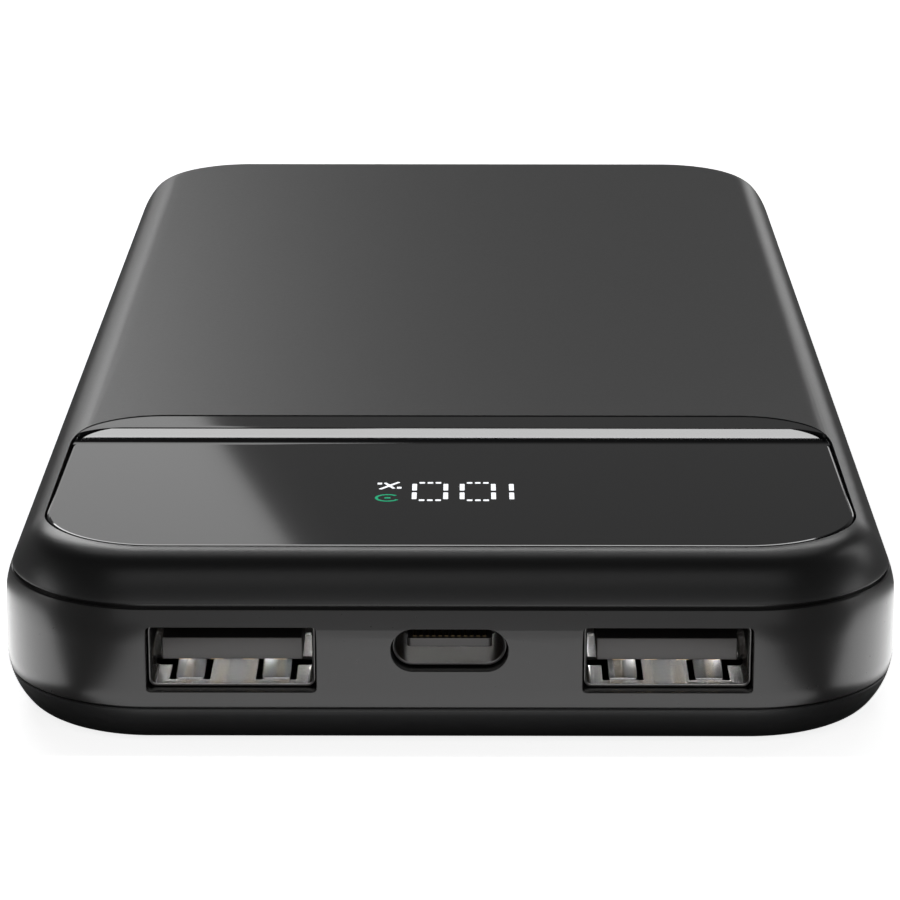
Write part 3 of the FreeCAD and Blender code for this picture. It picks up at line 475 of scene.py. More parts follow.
@dataclass(frozen=True)
class SoftEdge:
    """A soft edge of two tangent arcs, from a vertical side to a flat.

    Args:
        run: how far it reaches in over the flat.
        drop: how far below the flat it starts.
        tight: radius of the arc that meets the flat.
    """

    run: float
    drop: float
    tight: float

    @property
    def wide(self) -> float:
        """Radius of the arc that leaves the side."""
        return (self.run**2 + self.drop**2 - 2 * self.drop * self.tight) / (2 * (self.run - self.tight))

    @property
    def meeting(self) -> float:
        """Angle at which the two arcs meet, from the level."""
        return math.asin((self.drop - self.tight) / (self.wide - self.tight))

    def inset_at(self, depth: float) -> float:
        """Say how far in the edge has come at a depth below the flat.

        Args:
            depth: the depth.

        Returns:
            The inset from the side.
        """
        if depth >= self.drop:
            return 0.0
        meeting_depth = self.drop - self.wide * math.sin(self.meeting)
        if depth > meeting_depth:
            return self.wide * (1 - math.cos(math.asin((self.drop - depth) / self.wide)))
        return self.run - self.tight * math.cos(math.asin((self.tight - depth) / self.tight))

    def trail(self, depth: float, steps: int = 9) -> list[tuple[float, float]]:
        """List points from a depth up to the flat.

        Args:
            depth: depth at which to start, which is on the wide arc.
            steps: facets in each arc.

        Returns:
            Pairs of inset and depth.
        """
        begin = math.asin(max(0.0, self.drop - depth) / self.wide)
        points = []
        for step in range(steps + 1):
            turn = begin + (self.meeting - begin) * step / steps
            inset = self.wide * (1 - math.cos(turn))
            points.append((inset, self.drop - self.wide * math.sin(turn)))
        for step in range(1, steps + 1):
            turn = self.meeting + (math.pi / 2 - self.meeting) * step / steps
            inset = self.run - self.tight * math.cos(turn)
            points.append((inset, self.tight * (1 - math.sin(turn))))
        return points


@dataclass
class CaseForm:
    """The case's outline and soft edges, read from the frame where the frame has them."""

    corner: float = 12.5 * MM
    top_edge: SoftEdge = SoftEdge(4.44 * MM, 6.77 * MM, 3.2 * MM)
    base_edge: SoftEdge = SoftEdge(3.38 * MM, 4.96 * MM, 2.5 * MM)
    corner_steps: int = 30
    half_x: float = field(init=False)
    half_y: float = field(init=False)
    height: float = field(init=False)
    upper_seam: float = field(init=False)
    lower_seam: float = field(init=False)

    def __post_init__(self) -> None:
        """Read the case's size and seams from the CAD nodes."""
        low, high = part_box("middle_frame")
        self.half_x, self.half_y = high.x, high.y
        self.lower_seam, self.upper_seam = low.z, high.z
        self.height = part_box("top_cover")[1].z

    def top_inset(self, z: float) -> float:
        """Say how far in the top edge has come at a height."""
        return self.top_edge.inset_at(self.height - z)

    def base_inset(self, z: float) -> float:
        """Say how far in the base edge has come at a height."""
        return self.base_edge.inset_at(z)

    def top_trail(self, z: float) -> list[tuple[float, float]]:
        """List inset and height from a height up to the top's flat."""
        trail = self.top_edge.trail(self.height - z)
        return [(inset, self.height - depth) for inset, depth in trail]

    def base_trail(self, z: float) -> list[tuple[float, float]]:
        """List inset and height from a height down to the base's flat."""
        return self.base_edge.trail(z)

    def sweep(self, section: list[tuple[float, float]], ring: bool) -> bmesh.types.BMesh:
        """Sweep a cross-section round the case's outline.

        One corner is spun, its two ends are drawn out to the middle of the sides, and
        that quarter is mirrored twice.

        Args:
            section: pairs of inset and height.
            ring: whether the section is closed; an open one gets a flat cap at each end.

        Returns:
            A closed bmesh.
        """
        shape = bmesh.new()
        verts = [shape.verts.new((self.half_x - inset, self.half_y - self.corner, z))
                 for inset, z in section]
        edges = [shape.edges.new(pair) for pair in zip(verts, verts[1:])]
        if ring:
            edges.append(shape.edges.new((verts[-1], verts[0])))
        hub = Vector((self.half_x - self.corner, self.half_y - self.corner, 0))
        first = list(edges)
        turned = bmesh.ops.spin(shape, geom=verts + edges, cent=hub, axis=(0, 0, 1),
                                angle=math.pi / 2, steps=self.corner_steps,
                                use_merge=False, use_duplicate=False)
        last = [item for item in turned["geom_last"] if isinstance(item, bmesh.types.BMEdge)]
        for ends, axis in ((last, 0), (first, 1)):
            drawn = bmesh.ops.extrude_edge_only(shape, edges=ends)
            for item in drawn["geom"]:
                if isinstance(item, bmesh.types.BMVert):
                    item.co[axis] = 0.0
        for axis in ("X", "Y"):
            bmesh.ops.mirror(shape, geom=shape.verts[:] + shape.edges[:] + shape.faces[:],
                             axis=axis, merge_dist=0.001 * MM)
        if not ring:
            rims = [edge for edge in shape.edges if edge.is_boundary]
            bmesh.ops.edgeloop_fill(shape, edges=rims)
        bmesh.ops.recalc_face_normals(shape, faces=shape.faces)
        return shape


# ------------------------------------------------------------------ case


@dataclass
class Shells:
    """The top cover, the band and the bottom cover, with the seams between them."""

    form: CaseForm
    wall: float = 1.6 * MM
    lip_play: float = 0.1 * MM
    lip_drop: float = 1.2 * MM
    lip_inset: float = 2.8 * MM
    groove: float = 0.3 * MM
    upper_depth: float = 0.95 * MM
    lower_depth: float = 0.5 * MM
    edge_break: float = 0.09 * MM
    break_bulge: float = 0.3  # how far up the broken edge's middle point sits, as a share of it
    rim_clear: float = 1.5  # soft-edge points nearer to a rim than this many breaks are left out
    support: float = 0.9 * MM
    floor: float = 1.3 * MM
    ceiling: float = 13.05 * MM
    skin: float = 1.4 * MM
    space_overlap: float = 0.25 * MM
    space_steps: int = 12

    def build(self, window: "Window", ports: "Ports", key: "PowerKey") -> None:
        """Build the three shells.

        Args:
            window: gives the recess in the top cover.
            ports: gives the cut-outs in the band's front.
            key: gives the opening in the band's side.
        """
        self._top_cover(window)
        self._band(ports, key)
        self._bottom_cover()

    def _top_cover(self, window: "Window") -> None:
        """Build the top cover: skin, lip, recess for the window and space over the cells.

        Args:
            window: gives the recess and the opening under it.
        """
        form, seam = self.form, self.form.upper_seam
        turn_in = form.top_inset(seam) + self.edge_break
        outer = list(reversed(form.top_trail(seam + self.edge_break)))
        lip = self.wall + self.lip_play
        section = [(form.top_edge.run + self.support, form.height), *outer,
                   (turn_in - self.edge_break * (1 - self.break_bulge),
                    seam + self.edge_break * self.break_bulge),
                   (turn_in, seam), (self.upper_depth, seam), (lip, seam), (lip, seam - self.lip_drop),
                   (self.lip_inset, seam - self.lip_drop), (self.lip_inset, self.ceiling),
                   (self.lip_inset + self.support, self.ceiling)]
        shape = form.sweep(section, ring=False)
        shape = carve(shape, self._space_over_cells(window.rear + self.wall))
        shape = carve(shape, window.recess())
        shape = carve(shape, window.display_opening(self.ceiling))
        finished_piece(shape, "cover_top", "cover_plastic", stands_for=("top_cover",))

    def _space_over_cells(self, front: float) -> bmesh.types.BMesh:
        """Make what is taken from the top cover to leave a thin skin over the cells.

        Args:
            front: where the space begins along the case.

        Returns:
            A closed bmesh.
        """
        rear = self.form.half_y - self.lip_inset
        height = self.form.height - self.skin - self.ceiling
        middle = self.ceiling + height / 2 - self.space_overlap
        size = Vector((2 * (self.form.half_x - self.lip_inset), rear - front,
                       height + 2 * self.space_overlap))
        return rounded_block(Vector((0, (rear + front) / 2, middle)), size, 2,
                             self.form.corner - self.lip_inset, self.space_steps)

    def _band(self, ports: "Ports", key: "PowerKey") -> None:
        """Build the band between the covers, with its cut-outs.

        Args:
            ports: gives the cut-outs in its front.
            key: gives the opening in its side.
        """
        form = self.form
        low, high = form.lower_seam, form.upper_seam - self.groove
        lower = [(inset, z) for inset, z in reversed(form.base_trail(form.base_edge.drop))
                 if z > low + self.edge_break * self.rim_clear]
        upper = [(inset, z) for inset, z in form.top_trail(form.height - form.top_edge.drop)
                 if z < high - self.edge_break * self.rim_clear]
        section = [(self.wall, low), (form.base_inset(low) + self.edge_break, low),
                   (form.base_inset(low + self.edge_break), low + self.edge_break),
                   *lower, *upper,
                   (form.top_inset(high - self.edge_break), high - self.edge_break),
                   (form.top_inset(high) + self.edge_break, high), (self.upper_depth, high),
                   (self.upper_depth, form.upper_seam), (self.wall, form.upper_seam)]
        shape = form.sweep(section, ring=True)
        for cutter in ports.cutters():
            shape = carve(shape, cutter)
        shape = carve(shape, key.cutter())
        finished_piece(shape, "band", "band_plastic", stands_for=("middle_frame",))

    def _bottom_cover(self) -> None:
        """Build the bottom cover: floor, soft edge, seam notch and lip."""
        form, seam = self.form, self.form.lower_seam
        shoulder = seam - self.groove / 2
        lip = self.wall + self.lip_play
        outer = form.base_trail(shoulder - self.edge_break)
        section = [(self.lip_inset + self.support, self.floor), (self.lip_inset, self.floor),
                   (self.lip_inset, seam + self.lip_drop), (lip, seam + self.lip_drop), (lip, seam),
                   (self.lower_depth, seam), (self.lower_depth, shoulder),
                   (form.base_inset(shoulder) + self.edge_break, shoulder), *outer,
                   (form.base_edge.run + self.support, 0.0)]
        shape = form.sweep(section, ring=False)
        finished_piece(shape, "cover_bottom", "cover_plastic", stands_for=("bottom_cover",))


# ------------------------------------------------------------------ display window


@dataclass
class Window:
    """The gloss window: a plate with a softened edge, a slight slope and a ramp at its rear.

    The ramp rises from a foot to a crest. A narrow ridge and a crescent that is nearly flush
    with the cover lie behind the crest. Each gap is measured from the plate's rear end.
    """

    form: CaseForm
    gap: float = 0.13 * MM
    front_radius: float = 9.5 * MM
    rear_radius: float = 7.5 * MM
    plate_base: float = 14.2 * MM
    tape: float = 0.15 * MM
    edge_width: float = 0.32 * MM
    dip: float = 0.5 * MM
    ridge: float = 0.07 * MM
    foot_gap: float = 6.25 * MM
    crest_gap: float = 3.98 * MM
    ridge_gap: float = 3.73 * MM
    crest_round: float = 5.2 * MM
    foot_round: float = 1.0 * MM
    round_steps: int = 5
    crest_support: float = 0.05 * MM  # an extra cut this far before the crest keeps it crisp
    rear_soften: float = 0.08 * MM
    opening_play: float = 0.3 * MM
    scoop_reach: float = 8 * MM
    skim: float = 0.002 * MM  # the least that the scoop takes from the plate
    edge_steps: int = 4
    crease: float = 9.0  # edges sharper than this many degrees stay sharp
    steps: int = 20
    half_x: float = field(init=False)
    front: float = field(init=False)
    rear: float = field(init=False)

    def __post_init__(self) -> None:
        """Read the plate's outline from its CAD node."""
        low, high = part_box("display_window")
        self.half_x, self.front, self.rear = high.x, low.y, high.y

    def _prism(self, grow: float, low: float, high: float) -> bmesh.types.BMesh:
        """Make the plate's outline as a prism.

        Args:
            grow: how far the outline moves outwards.
            low: height of its base.
            high: height of its top.

        Returns:
            A closed bmesh.
        """
        centre = Vector((0, (self.front + self.rear) / 2, (low + high) / 2))
        size = Vector((2 * (self.half_x + grow), self.rear - self.front + 2 * grow, high - low))
        shape = block(centre, size)
        for at_front, radius in ((True, self.front_radius), (False, self.rear_radius)):
            edges = [edge for edge in edges_along(shape, 2)
                     if (edge.verts[0].co.y < centre.y) == at_front]
            round_edges(shape, edges, radius + grow, self.steps)
        return shape

    def recess(self) -> bmesh.types.BMesh:
        """Make the recess that the plate and its tape sit in."""
        return self._prism(self.gap, self.plate_base - self.tape, self.form.height + SPARE)

    def display_opening(self, ceiling: float) -> bmesh.types.BMesh:
        """Make the opening under the plate for the display module.

        Args:
            ceiling: height of the cover's inner face.

        Returns:
            A closed bmesh.
        """
        low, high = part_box("display_housing")
        centre = (low + high) / 2
        centre.z = (ceiling + self.plate_base) / 2
        size = high - low + 2 * Vector((self.opening_play, self.opening_play, 0))
        size.z = self.plate_base - ceiling + SPARE
        return block(centre, size)

    @property
    def fall(self) -> float:
        """Slope of the main face, down from its front edge to the ramp's foot."""
        return self.dip / (self.rear - self.foot_gap - self.front)

    def surface(self, y: float) -> float:
        """Say how high the main face, the ramp or the ridge behind it is.

        Args:
            y: the place along the case.

        Returns:
            Height above the table.
        """
        top, fall = self.form.height, self.fall
        foot, crest = self.rear - self.foot_gap, self.rear - self.crest_gap
        ridge = self.rear - self.ridge_gap
        rise = (self.dip - self.ridge) / (crest - foot)
        if y > crest:
            return top - self.ridge * (ridge - y) / (ridge - crest)
        height = top - self.dip + ((foot - y) * fall if y < foot else (y - foot) * rise)
        into = self.foot_round - abs(y - foot)
        return height + (rise + fall) * max(0.0, into) ** 2 / (4 * self.foot_round)

    def _scoop(self) -> bmesh.types.BMesh:
        """Make what the ramp and the ridge behind it take from the plate.

        Returns:
            A closed bmesh.
        """
        low, top = self.form.height - self.dip, self.form.height + SPARE
        foot, ridge = self.rear - self.foot_gap, self.rear - self.ridge_gap
        front = foot - self.scoop_reach
        middle = (front + ridge) / 2
        shape = block(Vector((0, middle, (low + top) / 2)),
                      Vector((2 * (self.half_x + SPARE), ridge - front, top - low)))
        rear_edges = [edge for edge in edges_along(shape, 2) if edge.verts[0].co.y > middle]
        round_edges(shape, rear_edges, self.crest_round, self.steps)
        cuts = [foot + self.foot_round * step / self.round_steps
                for step in range(-self.round_steps, self.round_steps + 1)]
        crest = self.rear - self.crest_gap
        for cut in (*cuts, crest - self.crest_support, crest):
            split_at(shape, cut)
        for vert in shape.verts:
            if vert.co.z < self.form.height:
                vert.co.z = min(self.surface(vert.co.y), self.form.height - self.skim)
        return shape

    def _half(self, shape: bmesh.types.BMesh, split: float, keep_front: bool) -> bmesh.types.BMesh:
        """Keep the part of the plate in front of a place, or the part behind it.

        Args:
            shape: the plate.
            split: the place along the case.
            keep_front: whether the part in front is kept.

        Returns:
            The same mesh, closed at the cut.
        """
        loop = split_at(shape, split, clear_front=not keep_front, clear_rear=keep_front)
        bmesh.ops.edgeloop_fill(shape, edges=loop)
        bmesh.ops.recalc_face_normals(shape, faces=shape.faces)
        return shape

    def _main_face(self, split: float) -> bmesh.types.BMesh:
        """Make the plate in front of the ramp, with its softened outline.

        Args:
            split: where it ends along the case.

        Returns:
            A closed bmesh.
        """
        whole = self._prism(0.0, self.plate_base, self.form.height)
        shape = self._half(whole, split, keep_front=True)
        top = end_face(shape, 2, high=True)
        for vert in top.verts:
            vert.co.z = self.surface(vert.co.y)
        outline = [edge for edge in top.edges
                   if any(vert.co.y < split - SAME_PLACE for vert in edge.verts)]
        round_edges(shape, outline, self.edge_width, self.edge_steps)
        return shape

    def _rear_face(self, split: float) -> bmesh.types.BMesh:
        """Make the ramp, the ridge and the crescent behind it.

        Args:
            split: where it begins along the case.

        Returns:
            A closed bmesh.
        """
        shape = self._prism(0.0, self.plate_base, self.form.height)
        top = end_face(shape, 2, high=True)
        for vert in top.verts:
            vert.co.z -= self.rear_soften
        push_face(shape, top, Vector((0, 0, self.rear_soften)), -self.rear_soften)
        ridge = self.rear - self.ridge_gap
        split_at(shape, ridge)
        for vert in shape.verts:
            if vert.co.z > (self.plate_base + self.form.height) / 2:
                vert.co.z -= max(0.0, vert.co.y - ridge) * self.fall
        return carve(self._half(shape, split, keep_front=False), self._scoop())

    def build(self) -> None:
        """Build the plate: its sloping face, and the ramp and crescent at its rear."""
        split = self.rear - self.foot_gap - self.foot_round
        plate = join(self._main_face(split), self._rear_face(split))
        finished_piece(plate, "window", "window_gloss", stands_for=("display_window",),
                       crease=self.crease)


@dataclass
class Display:
    """The lit strokes: two noughts, a one, a percent sign and a charge icon."""

    window: Window
    proud: float = 0.012 * MM  # how far a stroke stands above the window's face
    sunk: float = 0.3 * MM
    corner_share: float = 0.22  # corner radius of a stroke, as a share of its smaller size
    corner_steps: int = 4
    stroke: float = 0.40 * MM
    bar_length: float = 1.88 * MM
    bar_gap: float = 0.58 * MM
    dash: float = 0.47 * MM
    dash_depth: float = 0.42 * MM
    dash_pitch: float = 0.68 * MM
    dash_reach: float = 2.49 * MM
    nought_span: float = 2.60 * MM
    noughts: tuple[float, ...] = (-1.70 * MM, 2.26 * MM)
    one: float = 5.06 * MM
    centre_y: float = -54.5 * MM
    percent: tuple[float, float] = (-5.1 * MM, -52.85 * MM)
    slash: tuple[float, float] = (0.28 * MM, 2.6 * MM)
    slash_turn: float = -0.65
    cross_bar: tuple[float, float] = (0.26 * MM, 1.8 * MM)
    cross_turn: float = 0.45
    dot: tuple[float, float] = (0.38 * MM, 0.5 * MM)
    dot_shift: tuple[float, float] = (-0.82 * MM, 0.60 * MM)
    icon: tuple[float, float] = (-5.2 * MM, -56.35 * MM)
    icon_radius: float = 0.92 * MM
    icon_stroke: float = 0.24 * MM
    icon_start: float = 0.75
    icon_sweep: float = 5.0
    icon_steps: int = 36
    icon_mark: tuple[float, float] = (0.5 * MM, 0.34 * MM)

    def _settle(self, shape: bmesh.types.BMesh, x: float, y: float) -> None:
        """Move a stroke made at the origin to its place, following the window's slope.

        Args:
            shape: the stroke.
            x: its middle across the case.
            y: its middle along the case.
        """
        for vert in shape.verts:
            lift = self.proud if vert.co.z > 0 else -self.sunk
            height = self.window.surface(y + vert.co.y) + lift
            vert.co = Vector((x + vert.co.x, y + vert.co.y, height))

    def _tile(self, x: float, y: float, width: float, depth: float,
              turn: float = 0.0) -> bmesh.types.BMesh:
        """Make one straight stroke.

        Args:
            x: its middle across the case.
            y: its middle along the case.
            width: its size across.
            depth: its size along.
            turn: its turn about the vertical, in radians.

        Returns:
            A new bmesh.
        """
        shape = block(Vector((0, 0, 0)), Vector((width, depth, self.sunk)))
        corner = min(width, depth) * self.corner_share
        round_edges(shape, edges_along(shape, 2), corner, self.corner_steps)
        turned = Matrix.Rotation(turn, 3, "Z")
        bmesh.ops.rotate(shape, verts=shape.verts, cent=(0, 0, 0), matrix=turned)
        self._settle(shape, x, y)
        return shape

    def _bars(self, x: float) -> list[bmesh.types.BMesh]:
        """Make a column of two bars."""
        rows = [self.centre_y + side * (self.bar_length + self.bar_gap) / 2 for side in (-1, 1)]
        return [self._tile(x, y, self.stroke, self.bar_length) for y in rows]

    def _nought(self, x: float) -> list[bmesh.types.BMesh]:
        """Make a nought: a column of bars on each side and three dashes at each end.

        Args:
            x: its middle across the case.

        Returns:
            Its strokes.
        """
        strokes = self._bars(x - self.nought_span / 2) + self._bars(x + self.nought_span / 2)
        for end in (-1, 1):
            y = self.centre_y + end * self.dash_reach
            for column in (-1, 0, 1):
                place = x + column * self.dash_pitch
                strokes.append(self._tile(place, y, self.dash, self.dash_depth))
        return strokes

    def _percent(self) -> list[bmesh.types.BMesh]:
        """Make the percent sign: a slash, a shorter bar across it and a dot on each side.

        Returns:
            Its strokes.
        """
        x, y = self.percent
        strokes = [self._tile(x, y, *self.slash, self.slash_turn),
                   self._tile(x, y, *self.cross_bar, self.cross_turn)]
        for side in (-1, 1):
            across, along = self.dot_shift
            strokes.append(self._tile(x + side * across, y + side * along, *self.dot))
        return strokes

    def _open_ring(self) -> bmesh.types.BMesh:
        """Make the charge icon's ring, which is open on one side.

        Returns:
            A new bmesh.
        """
        shape = bmesh.new()
        corners = [shape.verts.new((self.icon_radius + across * self.icon_stroke / 2, 0,
                                    rise * self.sunk / 2))
                   for across, rise in ((-1, -1), (1, -1), (1, 1), (-1, 1))]
        face = shape.faces.new(corners)
        start = Matrix.Rotation(self.icon_start, 3, "Z")
        bmesh.ops.rotate(shape, verts=corners, cent=(0, 0, 0), matrix=start)
        bmesh.ops.spin(shape, geom=[face, *face.edges, *face.verts], cent=(0, 0, 0),
                       axis=(0, 0, 1), angle=self.icon_sweep, steps=self.icon_steps,
                       use_merge=False, use_duplicate=False)
        bmesh.ops.recalc_face_normals(shape, faces=shape.faces)
        self._settle(shape, *self.icon)
        return shape

    def build(self) -> None:
        """Build the digits, the percent sign and the charge icon."""
        digits = self._bars(self.one)
        for x in self.noughts:
            digits += self._nought(x)
        icon = [self._open_ring(), self._tile(*self.icon, *self.icon_mark)]
        for strokes, name, slot in ((digits, "digits", "lit_white"),
                                    (self._percent(), "percent_sign", "lit_white"),
                                    (icon, "charge_icon", "lit_green")):
            finished_piece(join(*strokes), name, slot, stands_for=("display_" + name,))


# ------------------------------------------------------------------ sockets


@dataclass(frozen=True)
class TabPoint:
    """One place along a spring tab.

    Args:
        back: how far it lies behind the shell's mouth.
        rise: its height above the middle of the shell's floor.
        width: width of the tab there.
    """

    back: float
    rise: float
    width: float


@dataclass
class Ports:
    """The two wide sockets and the oval one, and their cut-outs in the band."""

    form: CaseForm
    cut_grow: float = 0.15 * MM
    cut_rise: float = 0.5  # share of cut_grow that is left above and below a wide socket
    cut_corner: float = 0.4 * MM
    cut_steps: int = 8
    chamfer: float = 0.05 * MM
    skin: float = 0.22 * MM
    shell_corner: float = 0.6 * MM
    shell_steps: int = 6
    merge: float = 0.01 * MM  # corners of a tube's outline nearer than this become one
    rim_break: float = 0.04 * MM
    rim_angle: float = 1.2
    rim_steps: int = 2
    tab_offset: float = 3.42 * MM
    tab_width: float = 2.25 * MM
    slot: float = 0.5 * MM
    slot_front: float = 0.85 * MM
    slot_rear: float = 7.3 * MM
    bay_front: float = 4.15 * MM
    bay_rear: float = 6.1 * MM
    bay_start: float = 2.2  # a bay begins a slot's width over this from the slot's middle
    bay_reach: float = 7.5 * MM
    bay_rise: float = 0.1 * MM
    cut_height: float = 0.88 * MM
    tab_path: tuple[TabPoint, ...] = (
        TabPoint(7.5 * MM, 0.0, 2.8 * MM),
        TabPoint(6.6 * MM, 0.08 * MM, 2.8 * MM),
        TabPoint(5.5 * MM, 0.42 * MM, 2.3175 * MM),
        TabPoint(5.0 * MM, 0.47 * MM, 2.25 * MM),
        TabPoint(4.3 * MM, 0.42 * MM, 2.25 * MM),
        TabPoint(1.75 * MM, 0.17 * MM, 2.25 * MM),
        TabPoint(1.45 * MM, 0.08 * MM, 2.1825 * MM),
        TabPoint(1.32 * MM, -0.06 * MM, 2.0925 * MM),
    )
    tab_break: float = 0.045 * MM
    tab_angle: float = 1.0
    blade_width: float = 11.1 * MM
    blade_thickness: float = 1.84 * MM
    blade_break: float = 0.12 * MM
    blade_steps: int = 3
    plug_depth: float = 2.2 * MM
    oval_steps: int = 14
    oval_blade: tuple[float, float] = (6.69 * MM, 0.7 * MM)
    oval_corner: float = 0.35 * MM
    oval_corner_steps: int = 5
    oval_plate: float = 1.4 * MM
    oval_plate_steps: int = 12

    def cutters(self) -> list[bmesh.types.BMesh]:
        """Make the three cut-outs, each with a small chamfer at its mouth.

        Returns:
            A closed bmesh for each.
        """
        shapes = []
        inner, outer = CUT_DEPTH - self.form.half_y, self.chamfer - self.form.half_y
        for name, wide in (("usb_a_left_shell", True), ("usb_a_right_shell", True),
                           ("usb_c_shell", False)):
            low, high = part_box(name)
            width = high.x - low.x + 2 * self.cut_grow
            height = high.z - low.z + 2 * self.cut_grow * (self.cut_rise if wide else 1.0)
            radius = self.cut_corner if wide else height / 2
            centre = Vector(((low.x + high.x) / 2, (inner + outer) / 2, (low.z + high.z) / 2))
            size = Vector((width, inner - outer, height))
            shape = rounded_block(centre, size, 1, radius, self.cut_steps)
            front = end_face(shape, 1, high=False)
            mouth = push_face(shape, front, Vector((0, -self.chamfer, 0)), self.chamfer)
            push_face(shape, mouth, Vector((0, -SPARE, 0)))
            shapes.append(shape)
        return shapes

    def build(self) -> None:
        """Build the three sockets."""
        for side in ("left", "right"):
            self._wide_shell(side)
            self._wide_tongue(side)
        self._oval_shell()
        self._oval_tongue()

    def _tube(self, low: Vector, high: Vector, radius: float, steps: int) -> bmesh.types.BMesh:
        """Make a drawn tube, open at both ends, with its front rim broken.

        Args:
            low: lowest corner.
            high: highest corner.
            radius: outer corner radius.
            steps: facets in each corner.

        Returns:
            A closed bmesh.
        """
        centre, size = (low + high) / 2, high - low
        tube = rounded_block(centre, size, 1, radius, steps)
        bmesh.ops.remove_doubles(tube, verts=tube.verts, dist=self.merge)
        ends = [face for face in tube.faces if abs(face.normal.y) > ALIGNED]
        bmesh.ops.delete(tube, geom=ends, context="FACES_ONLY")
        bmesh.ops.recalc_face_normals(tube, faces=tube.faces)
        bmesh.ops.solidify(tube, geom=tube.faces[:], thickness=self.skin)
        bmesh.ops.recalc_face_normals(tube, faces=tube.faces)
        rim = [edge for edge in tube.edges if edge.calc_face_angle(0) > self.rim_angle
               and all(abs(vert.co.y - low.y) < SAME_PLACE for vert in edge.verts)]
        round_edges(tube, rim, self.rim_break, self.rim_steps)
        return tube

    def _floor_cutters(self, middle: float, low: Vector) -> list[bmesh.types.BMesh]:
        """Make what opens a wide shell's floor: a slot round each tab, and a side bay next to it.

        Args:
            middle: the shell's middle across the case.
            low: the shell's lowest corner.

        Returns:
            A box for each slot and each bay.
        """
        shapes = []
        slot_y, bay_y = (self.slot_front + self.slot_rear) / 2, (self.bay_front + self.bay_rear) / 2
        for side in (-1, 1):
            x = middle + side * self.tab_offset
            width = self.tab_width + 2 * self.slot
            shapes.append(block(Vector((x, low.y + slot_y, low.z)),
                                Vector((width, self.slot_rear - self.slot_front, self.cut_height))))
            inner, outer = x + side * width / self.bay_start, middle + side * self.bay_reach
            shapes.append(block(Vector(((inner + outer) / 2, low.y + bay_y, low.z + self.bay_rise)),
                                Vector((abs(outer - inner), self.bay_rear - self.bay_front,
                                        self.cut_height))))
        return shapes

    def _tab(self, x: float, low: Vector) -> bmesh.types.BMesh:
        """Make one spring tab: a strip that rises from its root and dips to its front lip.

        Args:
            x: its middle across the case.
            low: the shell's lowest corner.

        Returns:
            A closed bmesh.
        """
        base = low.z + self.skin / 2
        shape = bmesh.new()
        edge = shape.edges.new([shape.verts.new((x + side, 0, 0)) for side in (-1, 1)])
        for number, point in enumerate(self.tab_path):
            if number > 0:
                made = bmesh.ops.extrude_edge_only(shape, edges=[edge])["geom"]
                edge = next(item for item in made if isinstance(item, bmesh.types.BMEdge))
            for vert in edge.verts:
                side = 1 if vert.co.x > x else -1
                vert.co = Vector((x + side * point.width / 2, low.y + point.back, base + point.rise))
        bmesh.ops.recalc_face_normals(shape, faces=shape.faces)
        bmesh.ops.solidify(shape, geom=shape.faces[:], thickness=self.skin)
        rims = [edge for edge in shape.edges if edge.calc_face_angle(0) > self.tab_angle]
        round_edges(shape, rims, self.tab_break, self.rim_steps)
        return shape

    def _wide_shell(self, side: str) -> None:
        """Build one wide shell with the openings in its floor and two spring tabs.

        Args:
            side: "left" or "right".
        """
        node = f"usb_a_{side}_shell"
        low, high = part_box(node)
        middle = (low.x + high.x) / 2
        shape = self._tube(low, high, self.shell_corner, self.shell_steps)
        for cutter in self._floor_cutters(middle, low):
            shape = carve(shape, cutter)
        tabs = [self._tab(middle + end * self.tab_offset, low) for end in (-1, 1)]
        finished_piece(join(shape, *tabs), f"socket_{side}_shell", "socket_steel",
                       stands_for=(node,))

    def _wide_tongue(self, side: str) -> None:
        """Build one wide socket's tongue, which rests on its contacts, and the block behind it.

        Args:
            side: "left" or "right".
        """
        node = f"usb_a_{side}_tongue"
        low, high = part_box(node)
        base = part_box(f"usb_a_{side}_contacts")[1].z
        middle = (low + high) / 2
        blade = block(Vector((middle.x, middle.y, base + self.blade_thickness / 2)),
                      Vector((self.blade_width, high.y - low.y, self.blade_thickness)))
        front = [edge for edge in blade.edges
                 if min(vert.co.y for vert in edge.verts) < low.y + SAME_PLACE]
        round_edges(blade, front, self.blade_break, self.blade_steps)
        plug = block(Vector((middle.x, high.y - self.plug_depth / 2, middle.z)),
                     Vector((high.x - low.x, self.plug_depth, high.z - low.z)))
        finished_piece(join(blade, plug), f"socket_{side}_tongue", "socket_insulator",
                       stands_for=(node,))

    def _oval_shell(self) -> None:
        """Build the oval shell."""
        low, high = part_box("usb_c_shell")
        shape = self._tube(low, high, (high.z - low.z) / 2, self.oval_steps)
        finished_piece(shape, "oval_shell", "oval_steel", stands_for=("usb_c_shell",))

    def _oval_tongue(self) -> None:
        """Build the oval socket's thin tongue, with rounded front corners, and its back plate."""
        low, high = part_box("usb_c_tongue")
        width, thickness = self.oval_blade
        middle = (low + high) / 2
        blade = rounded_block(middle, Vector((width, high.y - low.y, thickness)), 2,
                              self.oval_corner, self.oval_corner_steps)
        plate = rounded_block(Vector((middle.x, high.y - self.oval_plate / 2, middle.z)),
                              Vector((high.x - low.x, self.oval_plate, high.z - low.z)), 1,
                              (high.z - low.z) / 2, self.oval_plate_steps)
        finished_piece(join(blade, plate), "oval_tongue", "socket_insulator",
                       stands_for=("usb_c_tongue",))


# ------------------------------------------------------------------ power key


